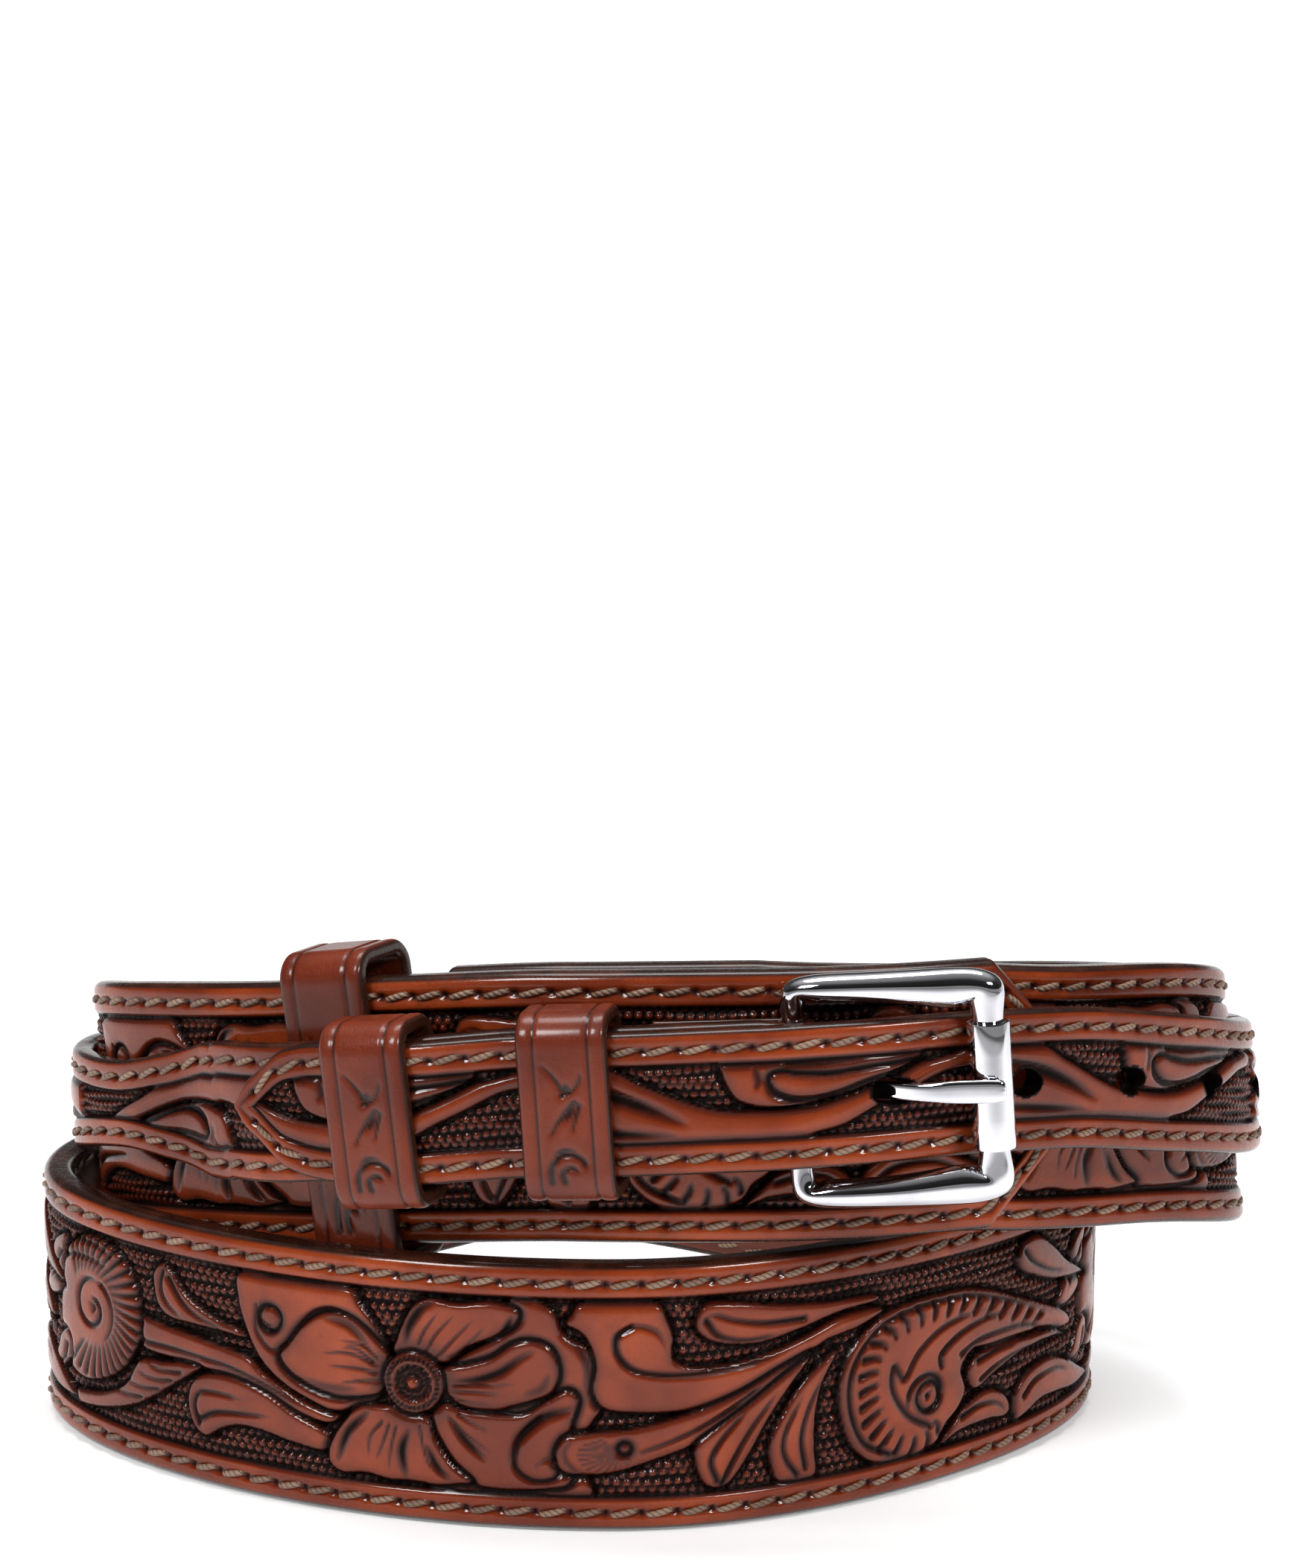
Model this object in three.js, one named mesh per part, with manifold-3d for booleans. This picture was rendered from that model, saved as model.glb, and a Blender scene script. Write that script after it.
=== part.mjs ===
import * as THREE from "three";
import Module from "manifold-3d";

// A western tooled belt lying in a double coil on its edges, buckle fastened.
// Units are millimetres, +Z is up, the buckle faces -Y.

const wasm = await Module();
wasm.setup();

// straps
const bodyWidth = 38;
const bodyThick = 4.5;
const billetWidth = 19.6;
const billetThick = 3.3;
const gap = 0.3; // clearance between two pieces that lie together
const rimGap = 2.6; // how far the upper turn clears the rim of the lower one
const endSlope = 0.87; // length of a pointed body end over half its width

// coil: half its width and half its depth, measured to the middle of the strap
const coilHalfWidth = 90;
const coilHalfDepth = 58;

// keepers
const keeperThick = 2.3;
const narrowKeeperWidth = 12.4;
const wideKeeperWidth = 13.4;
const nearKeeperX = -1.9; // inner end of each keeper, side to side from the coil's middle
const farKeeperX = -25.6;
const wideKeeperX = -35.2;
const narrowKeeperSlack = 0.9;
const wideKeeperSlack = 1.6;

// buckle
const buckleLength = 31;
const buckleHeight = 32;
const armDepth = 4.2;
const armHeight = 3.7;
const cornerHeight = 5.8;
const heelRadius = 1.4;
const rollerRadius = 2.95;
const rollerWall = 0.85;
const rollerLength = 17.4;
const rollerPlay = 0.1; // between the roller's bore and the front bar
const buckleTurn = 4; // degrees, roller end up
const prongWidth = 2.5;
const prongThick = 1.3;
const prongTipWidth = 3.3;
const foldThick = 1.4; // leather pared thin where it turns round the heel bar
const slotHeight = 4.2;

// holes in the free strap
const holeLength = 5.2;
const holeHeight = 3.8;
const usedHoleLength = 6.6;
const holePitch = 19.5;
const holeCount = 6;

const V = (x, y, z) => new THREE.Vector3(x, y, z);
const rad = (d) => (d * Math.PI) / 180;

// Smooth curve through hand-placed points that never swings past them.
function curve(points) {
  const n = points.length;
  const slope = [];
  for (let i = 0; i < n - 1; i++)
    slope.push((points[i + 1][1] - points[i][1]) / (points[i + 1][0] - points[i][0]));
  const m = points.map((_, i) => {
    if (i === 0) return slope[0];
    if (i === n - 1) return slope[n - 2];
    const a = slope[i - 1];
    const b = slope[i];
    return a * b <= 0 ? 0 : (2 * a * b) / (a + b);
  });
  return (x) => {
    if (x <= points[0][0]) return points[0][1];
    if (x >= points[n - 1][0]) return points[n - 1][1];
    let i = 0;
    while (x > points[i + 1][0]) i++;
    const h = points[i + 1][0] - points[i][0];
    const t = (x - points[i][0]) / h;
    const u = 1 - t;
    return (
      points[i][1] * u * u * (1 + 2 * t) +
      points[i + 1][1] * t * t * (3 - 2 * t) +
      h * (m[i] * t * u * u - m[i + 1] * t * t * u)
    );
  };
}

// Turning points of the strap's middle line: front, left, back, right and so on, a quarter turn each.
// [share of half width, share of half depth, how far the quarter before it is drawn to a corner]
const turns = [
  [0.983, -0.147, 0.03],
  [0.167, -0.892, 0.03],
  [-0.91, 0.017, 0.03],
  [-0.089, 0.862, 0.02],
  [0.745, 0.069, 0.02],
  [-0.056, -0.927, 0.035],
  [-1.008, 0.052, 0.02],
  [-0.033, 1.052, 0.02],
  [0.964, -0.052, 0.02],
];
// Height of the lower edge: [quarter, share of the body width, share of the rim gap]
const levels = [
  [-1, 1, 0.9],
  [-0.35, 1, 1],
  [0, 1, 0.92],
  [0.2, 1, 0.6],
  [0.37, 0.985, 0],
  [0.53, 0.91, 0],
  [0.75, 0.825, 0],
  [1, 0.73, 0],
  [1.5, 0.51, 0],
  [2, 0.3, 0],
  [2.45, 0.12, 0],
  [2.75, 0, 0],
  [5.3, 0, 0],
  [5.6, 0.12, 0],
  [6, 0.34, 0],
  [6.5, 0.6, 0],
  [7, 0.8, 0],
  [7.34, 0.93, 0],
  [7.56, 0.985, 0],
  [7.69, 1, 0.3],
  [8, 1, 0.92],
];
// Lean in degrees, lower edge outward
const leans = curve([[0, 0], [5.6, 0], [6.4, 2], [6.9, 6], [7.1, 6], [7.4, 1.5], [7.6, 0], [8, 0]]);
const level = curve(levels.map(([q, a, b]) => [q, a * bodyWidth + b * rimGap]));
const layerStep = bodyThick + 2.5 * gap; // from one body layer to the next one inside it

// One quarter from a front or back point to a side point; f runs from 0 to 1.
function quarter(end, side, f, draw) {
  const a = (f * Math.PI) / 2;
  const s = (1 - draw) * Math.sin(a) - draw * Math.sin(3 * a);
  const c = (1 - draw) * Math.cos(a) + draw * Math.cos(3 * a);
  return [end[0] + (side[0] - end[0]) * s, end[1] + (side[1] - end[1]) * (1 - c)];
}
const turnPoint = (k) => {
  if (k === 8) return [turnPoint(0)[0], turnPoint(0)[1] + layerStep];
  return [turns[k + 1][0] * coilHalfWidth, turns[k + 1][1] * coilHalfDepth];
};
function plan(q) {
  if (q > 8) {
    const [x, y] = plan(q - 8);
    const [x2, y2] = plan(q - 8 + 0.001);
    const l = Math.hypot(x2 - x, y2 - y);
    return [x + (layerStep * (y2 - y)) / l, y - (layerStep * (x2 - x)) / l];
  }
  const k = Math.min(7, Math.floor(q));
  const draw = k === 7 ? turns[1][2] : turns[k + 2][2];
  const a = turnPoint(k);
  const b = turnPoint(k + 1);
  return k % 2 === 0 ? quarter(a, b, q - k, draw) : quarter(b, a, k + 1 - q, draw);
}
const bodyEdge = (q) => (q > 8 ? level(q - 8) : level(q));

// Place on a strap: point, direction of travel, up across the width, outward.
function stand(point, ahead, lean) {
  const t = ahead.clone().normalize();
  const z = V(0, 0, 1);
  const up = z.clone().addScaledVector(t, -t.z).normalize();
  const out = up.clone().cross(t).normalize();
  const l = rad(lean);
  const u = up.clone().multiplyScalar(Math.cos(l)).addScaledVector(out, -Math.sin(l));
  return { p: point, t, u, n: u.clone().cross(t).normalize() };
}
function bodyMid(q) {
  const [x, y] = plan(q);
  return V(x, y, bodyEdge(q));
}
function bodyPlace(q) {
  const e = 0.002;
  const a = bodyMid(q - e);
  const b = bodyMid(q + e);
  const s = stand(bodyMid(q), b.clone().sub(a), leans(q));
  s.p.addScaledVector(V(0, 0, 1), (bodyWidth / 2) * s.u.z);
  return s;
}

// A strip through a list of middle points, its own frame at each.
function strip(points, leanAt) {
  return points.map((p, i) => {
    const a = points[Math.max(0, i - 1)];
    const b = points[Math.min(points.length - 1, i + 1)];
    return stand(p.clone(), b.clone().sub(a), leanAt ? leanAt(i) : 0);
  });
}
const lengths = (places) => {
  const l = [0];
  for (let i = 1; i < places.length; i++) l.push(l[i - 1] + places[i].p.distanceTo(places[i - 1].p));
  return l;
};
function spaced(places, marks) {
  const l = lengths(places);
  return marks.map((m) => {
    let i = 0;
    while (i < l.length - 2 && l[i + 1] < m) i++;
    const f = (m - l[i]) / (l[i + 1] - l[i]);
    const mix = (k) => places[i][k].clone().lerp(places[i + 1][k], f);
    return { p: mix("p"), t: mix("t").normalize(), u: mix("u").normalize(), n: mix("n").normalize() };
  });
}

// Chamfered rectangle as eight points: across the width, through the thickness.
function oblong(w, h, c) {
  const k = Math.min(c, w * 0.6, h * 0.6);
  return [
    [w, -h + k], [w, h - k], [w - k, h], [-w + k, h],
    [-w, h - k], [-w, -h + k], [-w + k, -h], [w - k, -h],
  ];
}
const round = (r, sides) =>
  Array.from({ length: sides }, (_, i) => [
    r * Math.cos(rad((360 * (i + 0.5)) / sides)),
    r * Math.sin(rad((360 * (i + 0.5)) / sides)),
  ]);

// Closed solid from points and triangles, its faces turned outward whichever way the rings ran.
function mesh(points, faces) {
  let six = 0;
  for (const [a, b, c] of faces) six += points[a].dot(points[b].clone().cross(points[c]));
  const turned = six < 0 ? faces.map(([a, b, c]) => [a, c, b]) : faces;
  return new wasm.Manifold(
    new wasm.Mesh({
      numProp: 3,
      vertProperties: new Float32Array(points.flatMap((p) => [p.x, p.y, p.z])),
      triVerts: new Uint32Array(turned.flat()),
    }),
  );
}
// Body swept through rings of equal count; closed joins the last ring to the first.
function sweep(rings, closed) {
  const n = rings[0].length;
  const points = rings.flat();
  const faces = [];
  const m = rings.length;
  for (let i = 0; i < (closed ? m : m - 1); i++)
    for (let j = 0; j < n; j++) {
      const a = i * n + j;
      const b = i * n + ((j + 1) % n);
      const c = ((i + 1) % m) * n + j;
      const d = ((i + 1) % m) * n + ((j + 1) % n);
      faces.push([a, b, d], [a, d, c]);
    }
  if (!closed)
    for (let j = 1; j < n - 1; j++) {
      faces.push([0, j + 1, j]);
      faces.push([(m - 1) * n, (m - 1) * n + j, (m - 1) * n + j + 1]);
    }
  return mesh(points, faces);
}
const ringAt = (s, section) =>
  section.map(([w, h]) => s.p.clone().addScaledVector(s.u, w).addScaledVector(s.n, h));

// Marks along a length: close together at the given zones, wider elsewhere.
function marks(total, step, zones) {
  const out = [];
  let at = 0;
  while (at < total - 0.01) {
    out.push(at);
    const z = zones.find(([a, b]) => at >= a - 0.01 && at < b - 0.01);
    at += z ? z[2] : step;
    const next = zones.find(([a]) => a > out[out.length - 1] + 0.01 && a < at);
    if (next) at = next[0];
  }
  out.push(total);
  return out;
}

// The wide body, pointed at both ends
const bodyStart = -0.48;
const bodyEnd = 8.44;
const bodyLine = [];
for (let q = bodyStart; q <= bodyEnd + 1e-9; q += 0.01) bodyLine.push(bodyPlace(q));
const bodyLength = lengths(bodyLine).at(-1);
const pointLength = (endSlope * bodyWidth) / 2;
const bodyMarks = marks(bodyLength, 5.2, [
  [0, pointLength, pointLength / 2],
  [bodyLength - pointLength, bodyLength, pointLength / 2],
]);
const bodyRings = spaced(bodyLine, bodyMarks).map((s, i) => {
  const near = Math.min(bodyMarks[i], bodyLength - bodyMarks[i]);
  const w = (bodyWidth / 2) * Math.min(1, 0.05 + (0.95 * near) / pointLength);
  return ringAt(s, oblong(w, bodyThick / 2, 0.9));
});
const belt = sweep(bodyRings, false);

// Distances outward from the middle of the body to the middle of each layer
const sewnOut = bodyThick / 2 + 1.3 * gap + billetThick / 2;
const overKeeper = bodyThick / 2 + gap + keeperThick + gap + billetThick / 2 + 0.1;
const overTwo = overKeeper + keeperThick + gap + 0.1;
const stackStep = billetThick + gap;
const sewnLift = 0.08 * billetWidth;

// Heights of the buckle straps above the middle of the body, as shares of the strap's width
const lift = curve([
  [-0.6, 0.26], [-0.3, 0.24], [0, 0.18], [0.15, 0.14], [0.3, 0.12], [0.55, 0.1], [0.8, 0.08],
]);
const outAt = curve([
  [-0.3, overKeeper], [0.235, overKeeper], [0.285, (overKeeper + overTwo) / 2], [0.335, overTwo],
  [0.46, overTwo], [0.64, sewnOut], [1, sewnOut],
]);
const topAt = (q) => (q < 0.44 ? outAt(q + 0.015) : overTwo) + stackStep;
function offset(s, out, up) {
  return s.p.clone().addScaledVector(s.n, out).addScaledVector(s.u, up);
}

// Middle of the free strap's front part: quarter of an oval from the right bend to the front.
const bendPlace = bodyPlace(7);
const bendPoint = offset(bendPlace, sewnOut, sewnLift);
const frontPlace = bodyPlace(0);
const frontPoint = offset(frontPlace, topAt(0), lift(0) * billetWidth);
const frontRise = curve([
  [0, 0], [0.15, 0.18], [0.38, 0.6], [0.6, 0.97], [0.77, 1.06], [0.9, 1.04], [1, 1],
]);
const tipLift = curve([[0, 0], [0.34, 0], [0.48, 0.1], [0.6, 0.16]]);
function freeMid(q) {
  if (q <= 7) return offset(bodyPlace(q), sewnOut, sewnLift);
  if (q >= 8) return offset(bodyPlace(q - 8), topAt(q - 8), (lift(q - 8) + tipLift(q - 8)) * billetWidth);
  const [x, y] = quarter([frontPoint.x, frontPoint.y], [bendPoint.x, bendPoint.y], 8 - q, 0.03);
  return V(x, y, bendPoint.z + (frontPoint.z - bendPoint.z) * frontRise(q - 7));
}
const tailLength = 96; // sewn leaf-shaped part of each narrow strap
const leaf = curve([
  [0, 0.06], [0.02, 0.16], [0.1, 0.42], [0.2, 0.8], [0.32, 0.98], [0.45, 0.95], [0.62, 0.76], [0.78, 0.66], [0.9, 0.8],
  [1, 1],
]);
const tipRound = curve([
  [0, 0.06], [0.07, 0.3], [0.2, 0.5], [0.45, 0.86], [0.72, 0.97], [1, 1],
]);
const tipLength = 18;

const freeStart = 6.13; // quarter at which its leaf-shaped tail begins
const freeLine = [];
{
  const pts = [];
  for (let q = freeStart; q <= 8.5; q += 0.01) pts.push(freeMid(q));
  for (let i = 0; i < pts.length; i++) {
    const a = pts[Math.max(0, i - 1)];
    const b = pts[Math.min(pts.length - 1, i + 1)];
    freeLine.push(stand(pts[i], b.clone().sub(a), leans(freeStart + i * 0.01)));
  }
}
const freeLength = lengths(freeLine).at(-1);
const freeMarks = marks(freeLength, 4.8, [
  [0, 4, 2],
  [freeLength - tipLength, freeLength - 5, 4],
  [freeLength - 5, freeLength, 1.25],
]);
const freeRings = spaced(freeLine, freeMarks).map((s, i) => {
  const m = freeMarks[i];
  const w = (billetWidth / 2) * Math.min(leaf(m / tailLength), tipRound((freeLength - m) / tipLength));
  return ringAt(s, oblong(w, billetThick / 2, 0.7));
});
let holed = sweep(freeRings, false);

// Oval holes, the first one drawn out by the prong
const usedHoleX = 32.6;
const usedMark = (() => {
  const l = lengths(freeLine);
  let best = 0;
  freeLine.forEach((s, i) => {
    if (s.p.y < 0 && s.p.z > bodyWidth && Math.abs(s.p.x - usedHoleX) < Math.abs(freeLine[best].p.x - usedHoleX))
      best = i;
  });
  return l[best];
})();
for (let i = 0; i < holeCount; i++) {
  const s = spaced(freeLine, [usedMark - i * holePitch])[0];
  const long = (i === 0 ? usedHoleLength : holeLength) / 2;
  const ring = (side) =>
    round(1, 14).map(([a, b]) =>
      s.p
        .clone()
        .addScaledVector(s.t, a * long)
        .addScaledVector(s.u, (b * holeHeight) / 2)
        .addScaledVector(s.n, side * billetThick),
    );
  holed = holed.subtract(sweep([ring(-1), ring(1)], false));
}

// Buckle: its own frame, origin at the heel bar, a to the roller, b up, c outward
const foldRadius = heelRadius + 0.2 + foldThick;
const freeNear = (x) => {
  let best = freeLine[0];
  for (const s of freeLine)
    if (s.p.z > bodyWidth && s.p.y < 0 && Math.abs(s.p.x - x) < Math.abs(best.p.x - x)) best = s;
  return best;
};
const heelX = 20.3;
const heelFree = freeNear(heelX);
const heel = V(heelX, heelFree.p.y + billetThick / 2 + gap + foldRadius + 0.05, heelFree.p.z - 0.6);
const barSpan = buckleLength - heelRadius - 0.5 - rollerRadius;
const rollerFree = freeNear(heelX + 25.6);
const rollerMid = V(
  rollerFree.p.x,
  rollerFree.p.y - (billetThick / 2 + gap + rollerRadius + 0.5) / Math.cos(rad(15)),
  heel.z + Math.tan(rad(buckleTurn)) * 25.6,
);
const axisA = rollerMid.clone().sub(heel).normalize();
const axisB = V(0, 0, 1).addScaledVector(axisA, -axisA.z).normalize();
const axisC = axisA.clone().cross(axisB).normalize();
const reach = rollerMid.distanceTo(heel);
const inBuckle = (a, b, c) =>
  heel.clone().addScaledVector(axisA, a).addScaledVector(axisB, b).addScaledVector(axisC, c);

// Frame: a loop of round-cornered rings. [a as share of reach, b as share of half height, height, depth, turn]
const halfHeight = buckleHeight / 2;
const armMid = 1 - armHeight / 2 / halfHeight;
const cornerMid = 1 - cornerHeight / 2 / halfHeight;
const barR = rollerRadius - rollerWall - rollerPlay;
const half = [
  [0, 0.35, heelRadius, heelRadius, 90],
  [0, 0.66, heelRadius, heelRadius, 90],
  [0.0, armMid - 0.06, 1.7, 1.8, 78],
  [0.035, armMid - 0.01, 1.85, 1.95, 45],
  [0.11, armMid, armHeight / 2, armDepth / 2, 4],
  [0.32, armMid, armHeight / 2, armDepth / 2, 2],
  [0.55, armMid - 0.01, armHeight * 0.55, armDepth / 2, -1],
  [0.76, armMid - 0.035, armHeight * 0.66, armDepth / 2, -4],
  [0.9, cornerMid + 0.02, cornerHeight * 0.47, armDepth / 2, -18],
  [0.99, cornerMid + 0.01, cornerHeight * 0.43, armDepth / 2, -48],
  [1.0, cornerMid - 0.05, 2.6, armDepth / 2, -80],
  [1, (rollerLength / 2 + 0.55) / halfHeight, barR, barR, -90],
  [1, 0.25, barR, barR, -90],
];
const loop = [];
const bow = curve([[0, 0], [0.2, 0.7], [0.6, 0.8], [1, 0]]);
for (const [a, b, r1, r2, turn] of half) loop.push([a * reach, b * halfHeight, r1, r2, turn, bow(a)]);
for (const [a, b, r1, r2, turn] of half.slice().reverse())
  loop.push([a * reach, -b * halfHeight, r1, r2, 180 - turn, bow(a)]);
const frameRings = loop.map(([a, b, r1, r2, turn, c]) => {
  const mid = inBuckle(a, b, c);
  const dir = axisA.clone().multiplyScalar(Math.cos(rad(turn))).addScaledVector(axisB, Math.sin(rad(turn)));
  const side = axisC.clone().cross(dir).normalize();
  return round(1, 12).map(([x, y]) =>
    mid.clone().addScaledVector(side, x * r1).addScaledVector(axisC, y * r2),
  );
});
const frame = sweep(frameRings, true);

// Roller: a tube turning on the front bar
const tube = (r1, r2, len) => {
  const ring = (r, b) =>
    round(1, 24).map(([x, y]) => inBuckle(reach + x * r, b, y * r));
  const e = len / 2;
  const c = 0.3;
  return sweep(
    [
      ring(r1, -e), ring(r2 - c, -e), ring(r2, -e + c), ring(r2, e - c), ring(r2 - c, e), ring(r1, e),
    ],
    true,
  );
};
const roller = tube(barR + rollerPlay, rollerRadius, rollerLength);

// Prong: curls round the heel bar, rises through the hole and rests on the roller
const curl = heelRadius + 0.2 + prongThick / 2;
const prongLine = [];
for (let d = -40; d >= -300; d -= 26)
  prongLine.push([curl * Math.cos(rad(d)), curl * Math.sin(rad(d))]);
const restOn = rollerRadius + gap + prongThick / 2;
const shaft = [
  [0.135, 0.03], [0.25, -0.008], [0.34, -0.024], [0.42, 0.008], [0.52, 0.064], [0.6, 0.103], [0.69, 0.132],
];
for (const [a, c] of shaft) prongLine.push([a * reach, c * reach]);
prongLine.push([0.8 * reach, restOn * 0.93], [0.93 * reach, restOn + 0.05], [1.03 * reach, restOn + 0.1], [1.08 * reach, restOn - 0.1]);
const prongPoints = prongLine.map(([a, c]) => inBuckle(a, 0, c));
const prongPlaces = prongPoints.map((p, i) => {
  const a = prongPoints[Math.max(0, i - 1)];
  const b = prongPoints[Math.min(prongPoints.length - 1, i + 1)];
  const t = b.clone().sub(a).normalize();
  return { p, t, u: axisB.clone(), n: axisB.clone().cross(t).normalize() };
});
const prongRings = prongPlaces.map((s, i) => {
  const left = prongPlaces.length - 1 - i;
  const w = (left === 0 ? 0.8 : left <= 3 ? 1 : 0) * prongTipWidth || prongWidth;
  return ringAt(s, oblong(w / 2, prongThick / 2, 0.35));
});
const prong = sweep(prongRings, false);

// Strap behind the buckle: sewn leaf tail, over the wide keeper, folded round the heel bar
const foldTail = 1.54; // quarter at which its leaf-shaped tail begins
const foldPoints = [];
const foldWidths = [];
{
  const last = -0.005;
  for (let q = foldTail; q >= last; q -= 0.01) {
    foldPoints.push(offset(bodyPlace(q), outAt(q), (q > 0.55 ? 0.08 : lift(q)) * billetWidth));
    foldWidths.push(billetThick);
  }
}
const foldStart = foldPoints.at(-1);
const foldMid = heelRadius + 0.2 + foldThick / 2;
const turnPoints = [];
for (let d = 100; d >= -110; d -= 21)
  turnPoints.push(inBuckle(foldMid * Math.cos(rad(d)), 0, foldMid * Math.sin(rad(d))));
const turnFirst = foldPoints.length + 1;
foldPoints.push(foldStart.clone().lerp(turnPoints[0], 0.5));
foldWidths.push((billetThick + foldThick) / 2);
for (const p of turnPoints) {
  foldPoints.push(p);
  foldWidths.push(foldThick);
}
const flapEnd = offset(bodyPlace(0.1), overKeeper - billetThick / 2 - gap - foldThick / 2, lift(0.1) * billetWidth);
foldPoints.push(turnPoints.at(-1).clone().lerp(flapEnd, 0.5), flapEnd);
foldWidths.push(foldThick, foldThick);
const foldLine = foldPoints.map((p, i) => {
  const a = foldPoints[Math.max(0, i - 1)];
  const b = foldPoints[Math.min(foldPoints.length - 1, i + 1)];
  const t = a.clone().sub(b).normalize();
  const up = V(0, 0, 1).addScaledVector(t, -t.z).normalize();
  if (i >= turnFirst && i < turnFirst + turnPoints.length) up.copy(axisB);
  return { p, t, u: up, n: up.clone().cross(t).normalize(), thick: foldWidths[i] };
});
const foldLengths = lengths(foldLine);
const straightEnd = foldLengths[foldPoints.length - turnPoints.length - 4];
const keepRows = [];
{
  const wanted = marks(straightEnd, 4.2, [[0, 4, 2]]);
  for (const m of wanted) {
    const s = spaced(foldLine, [m])[0];
    s.m = m;
    s.thick = billetThick;
    keepRows.push(s);
  }
  for (let i = foldPoints.length - turnPoints.length - 3; i < foldPoints.length; i++) {
    foldLine[i].m = foldLengths[i];
    keepRows.push(foldLine[i]);
  }
}
const foldRings = keepRows.map((s) => {
  const w = (billetWidth / 2) * leaf(Math.min(1, s.m / tailLength));
  return ringAt(s, oblong(w, s.thick / 2, Math.min(0.7, s.thick / 3)));
});
let fold = sweep(foldRings, false);
{
  const box = (a0, a1, b, c) => {
    const ring = (z) => [[a0, -c], [a1, -c], [a1, c], [a0, c]].map(([a, d]) => inBuckle(a, z, d));
    return sweep([ring(-b), ring(b)], false);
  };
  fold = fold.subtract(box(-foldRadius - 0.6, foldRadius + 0.6, slotHeight / 2, foldRadius + 2));
}

// Keepers: sleeves that follow the strap; outer and inner outline rounded
function sleeve(q0, q1, low, high, up, halfUp) {
  const places = [];
  const n = 4;
  for (let i = 0; i <= n; i++) {
    const q = q0 + ((q1 - q0) * i) / n;
    const s = bodyPlace(q);
    s.mid = offset(s, (low(q) + high(q)) / 2, up(q));
    s.n = V(-s.t.y, s.t.x, 0).normalize();
    s.u = V(0, 0, 1);
    s.half = (high(q) - low(q)) / 2;
    places.push(s);
  }
  const outline = (s, grow, r) => {
    const w = halfUp + grow;
    const h = s.half + grow;
    const out = [];
    const corners = [[1, 1, 0], [-1, 1, 90], [-1, -1, 180], [1, -1, 270]];
    for (const [a, b, d] of corners)
      for (let k = 0; k <= 3; k++) {
        const t = rad(d + k * 30);
        out.push([a * (w - r) + r * Math.cos(t), b * (h - r) + r * Math.sin(t)]);
      }
    return out.map(([x, y]) => s.mid.clone().addScaledVector(s.u, x).addScaledVector(s.n, y));
  };
  const part = (a, b, f) => a.map((p, i) => p.clone().lerp(b[i], f));
  const inner = (i) => outline(places[i], 0, 0.8);
  const outer = (i, c) => outline(places[i], keeperThick - c, keeperThick + 0.4 - c);
  const rows = [inner(0), outer(0, 0.5), part(outer(0, 0), outer(1, 0), 0.15)];
  for (let i = 1; i < n; i++) rows.push(outer(i, 0));
  rows.push(part(outer(n, 0), outer(n - 1, 0), 0.15), outer(n, 0.5), inner(n));
  for (let i = n - 1; i > 0; i--) rows.push(inner(i));
  return sweep(rows, true);
}
// Quarter at which the upper front turn passes a given side-to-side place
const quarterAt = (x) => {
  let lo = 0;
  let hi = 0.8;
  for (let i = 0; i < 40; i++) {
    const m = (lo + hi) / 2;
    if (plan(m)[0] > x) lo = m;
    else hi = m;
  }
  return lo;
};
const keeper = (x, width, low, high, up, halfUp) => {
  const q = quarterAt(x);
  const step = width / bodyMid(q).distanceTo(bodyMid(q + 0.01));
  return sleeve(q, q + step * 0.01, low, high, up, halfUp);
};
const narrow = (x) =>
  keeper(
    x,
    narrowKeeperWidth,
    (q) => outAt(q) - billetThick / 2 - gap,
    (q) => topAt(q) + billetThick / 2 + gap,
    (q) => lift(q) * billetWidth,
    billetWidth / 2 + narrowKeeperSlack,
  );
const nearKeeper = narrow(nearKeeperX);
const farKeeper = narrow(farKeeperX);
const wideKeeper = keeper(
  wideKeeperX,
  wideKeeperWidth,
  () => -bodyThick / 2 - layerStep - gap,
  () => bodyThick / 2 + gap,
  () => 0.3,
  bodyWidth / 2 + wideKeeperSlack,
);

const tan = new THREE.MeshStandardMaterial({ name: "leather", color: 0x9a4a22, roughness: 0.5 });
const brown = new THREE.MeshStandardMaterial({ name: "keeper leather", color: 0x7a3a22, roughness: 0.5 });
const bright = new THREE.MeshStandardMaterial({ name: "chrome", color: 0xd8dade, roughness: 0.15, metalness: 1 });

const group = new THREE.Group();
group.name = "western_tooled_belt";
const solids = [
  ["belt_body", belt, tan],
  ["holed_billet", holed, tan],
  ["buckle_billet", fold, tan],
  ["buckle_frame", frame, bright],
  ["buckle_roller", roller, bright],
  ["buckle_prong", prong, bright],
  ["keeper_near", nearKeeper, brown],
  ["keeper_far", farKeeper, brown],
  ["keeper_wide", wideKeeper, brown],
];
for (const [name, solid, material] of solids) {
  const m = solid.getMesh();
  const g = new THREE.BufferGeometry();
  g.setAttribute("position", new THREE.BufferAttribute(new Float32Array(m.vertProperties), 3));
  g.setIndex(new THREE.BufferAttribute(new Uint32Array(m.triVerts), 1));
  g.computeVertexNormals();
  const node = new THREE.Mesh(g, material);
  node.name = name;
  group.add(node);
}
// Origin in the middle of the footprint, on the surface it rests on
const box = new THREE.Box3().setFromObject(group);
for (const node of group.children)
  node.geometry.translate(-(box.min.x + box.max.x) / 2, -(box.min.y + box.max.y) / 2, -box.min.z);

export default group;
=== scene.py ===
"""Builds the looks of a fastened western belt: a wide tooled strap wound in a double coil, two narrow
tooled straps sewn on its ends, leather keepers and a polished roller buckle."""

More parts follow.
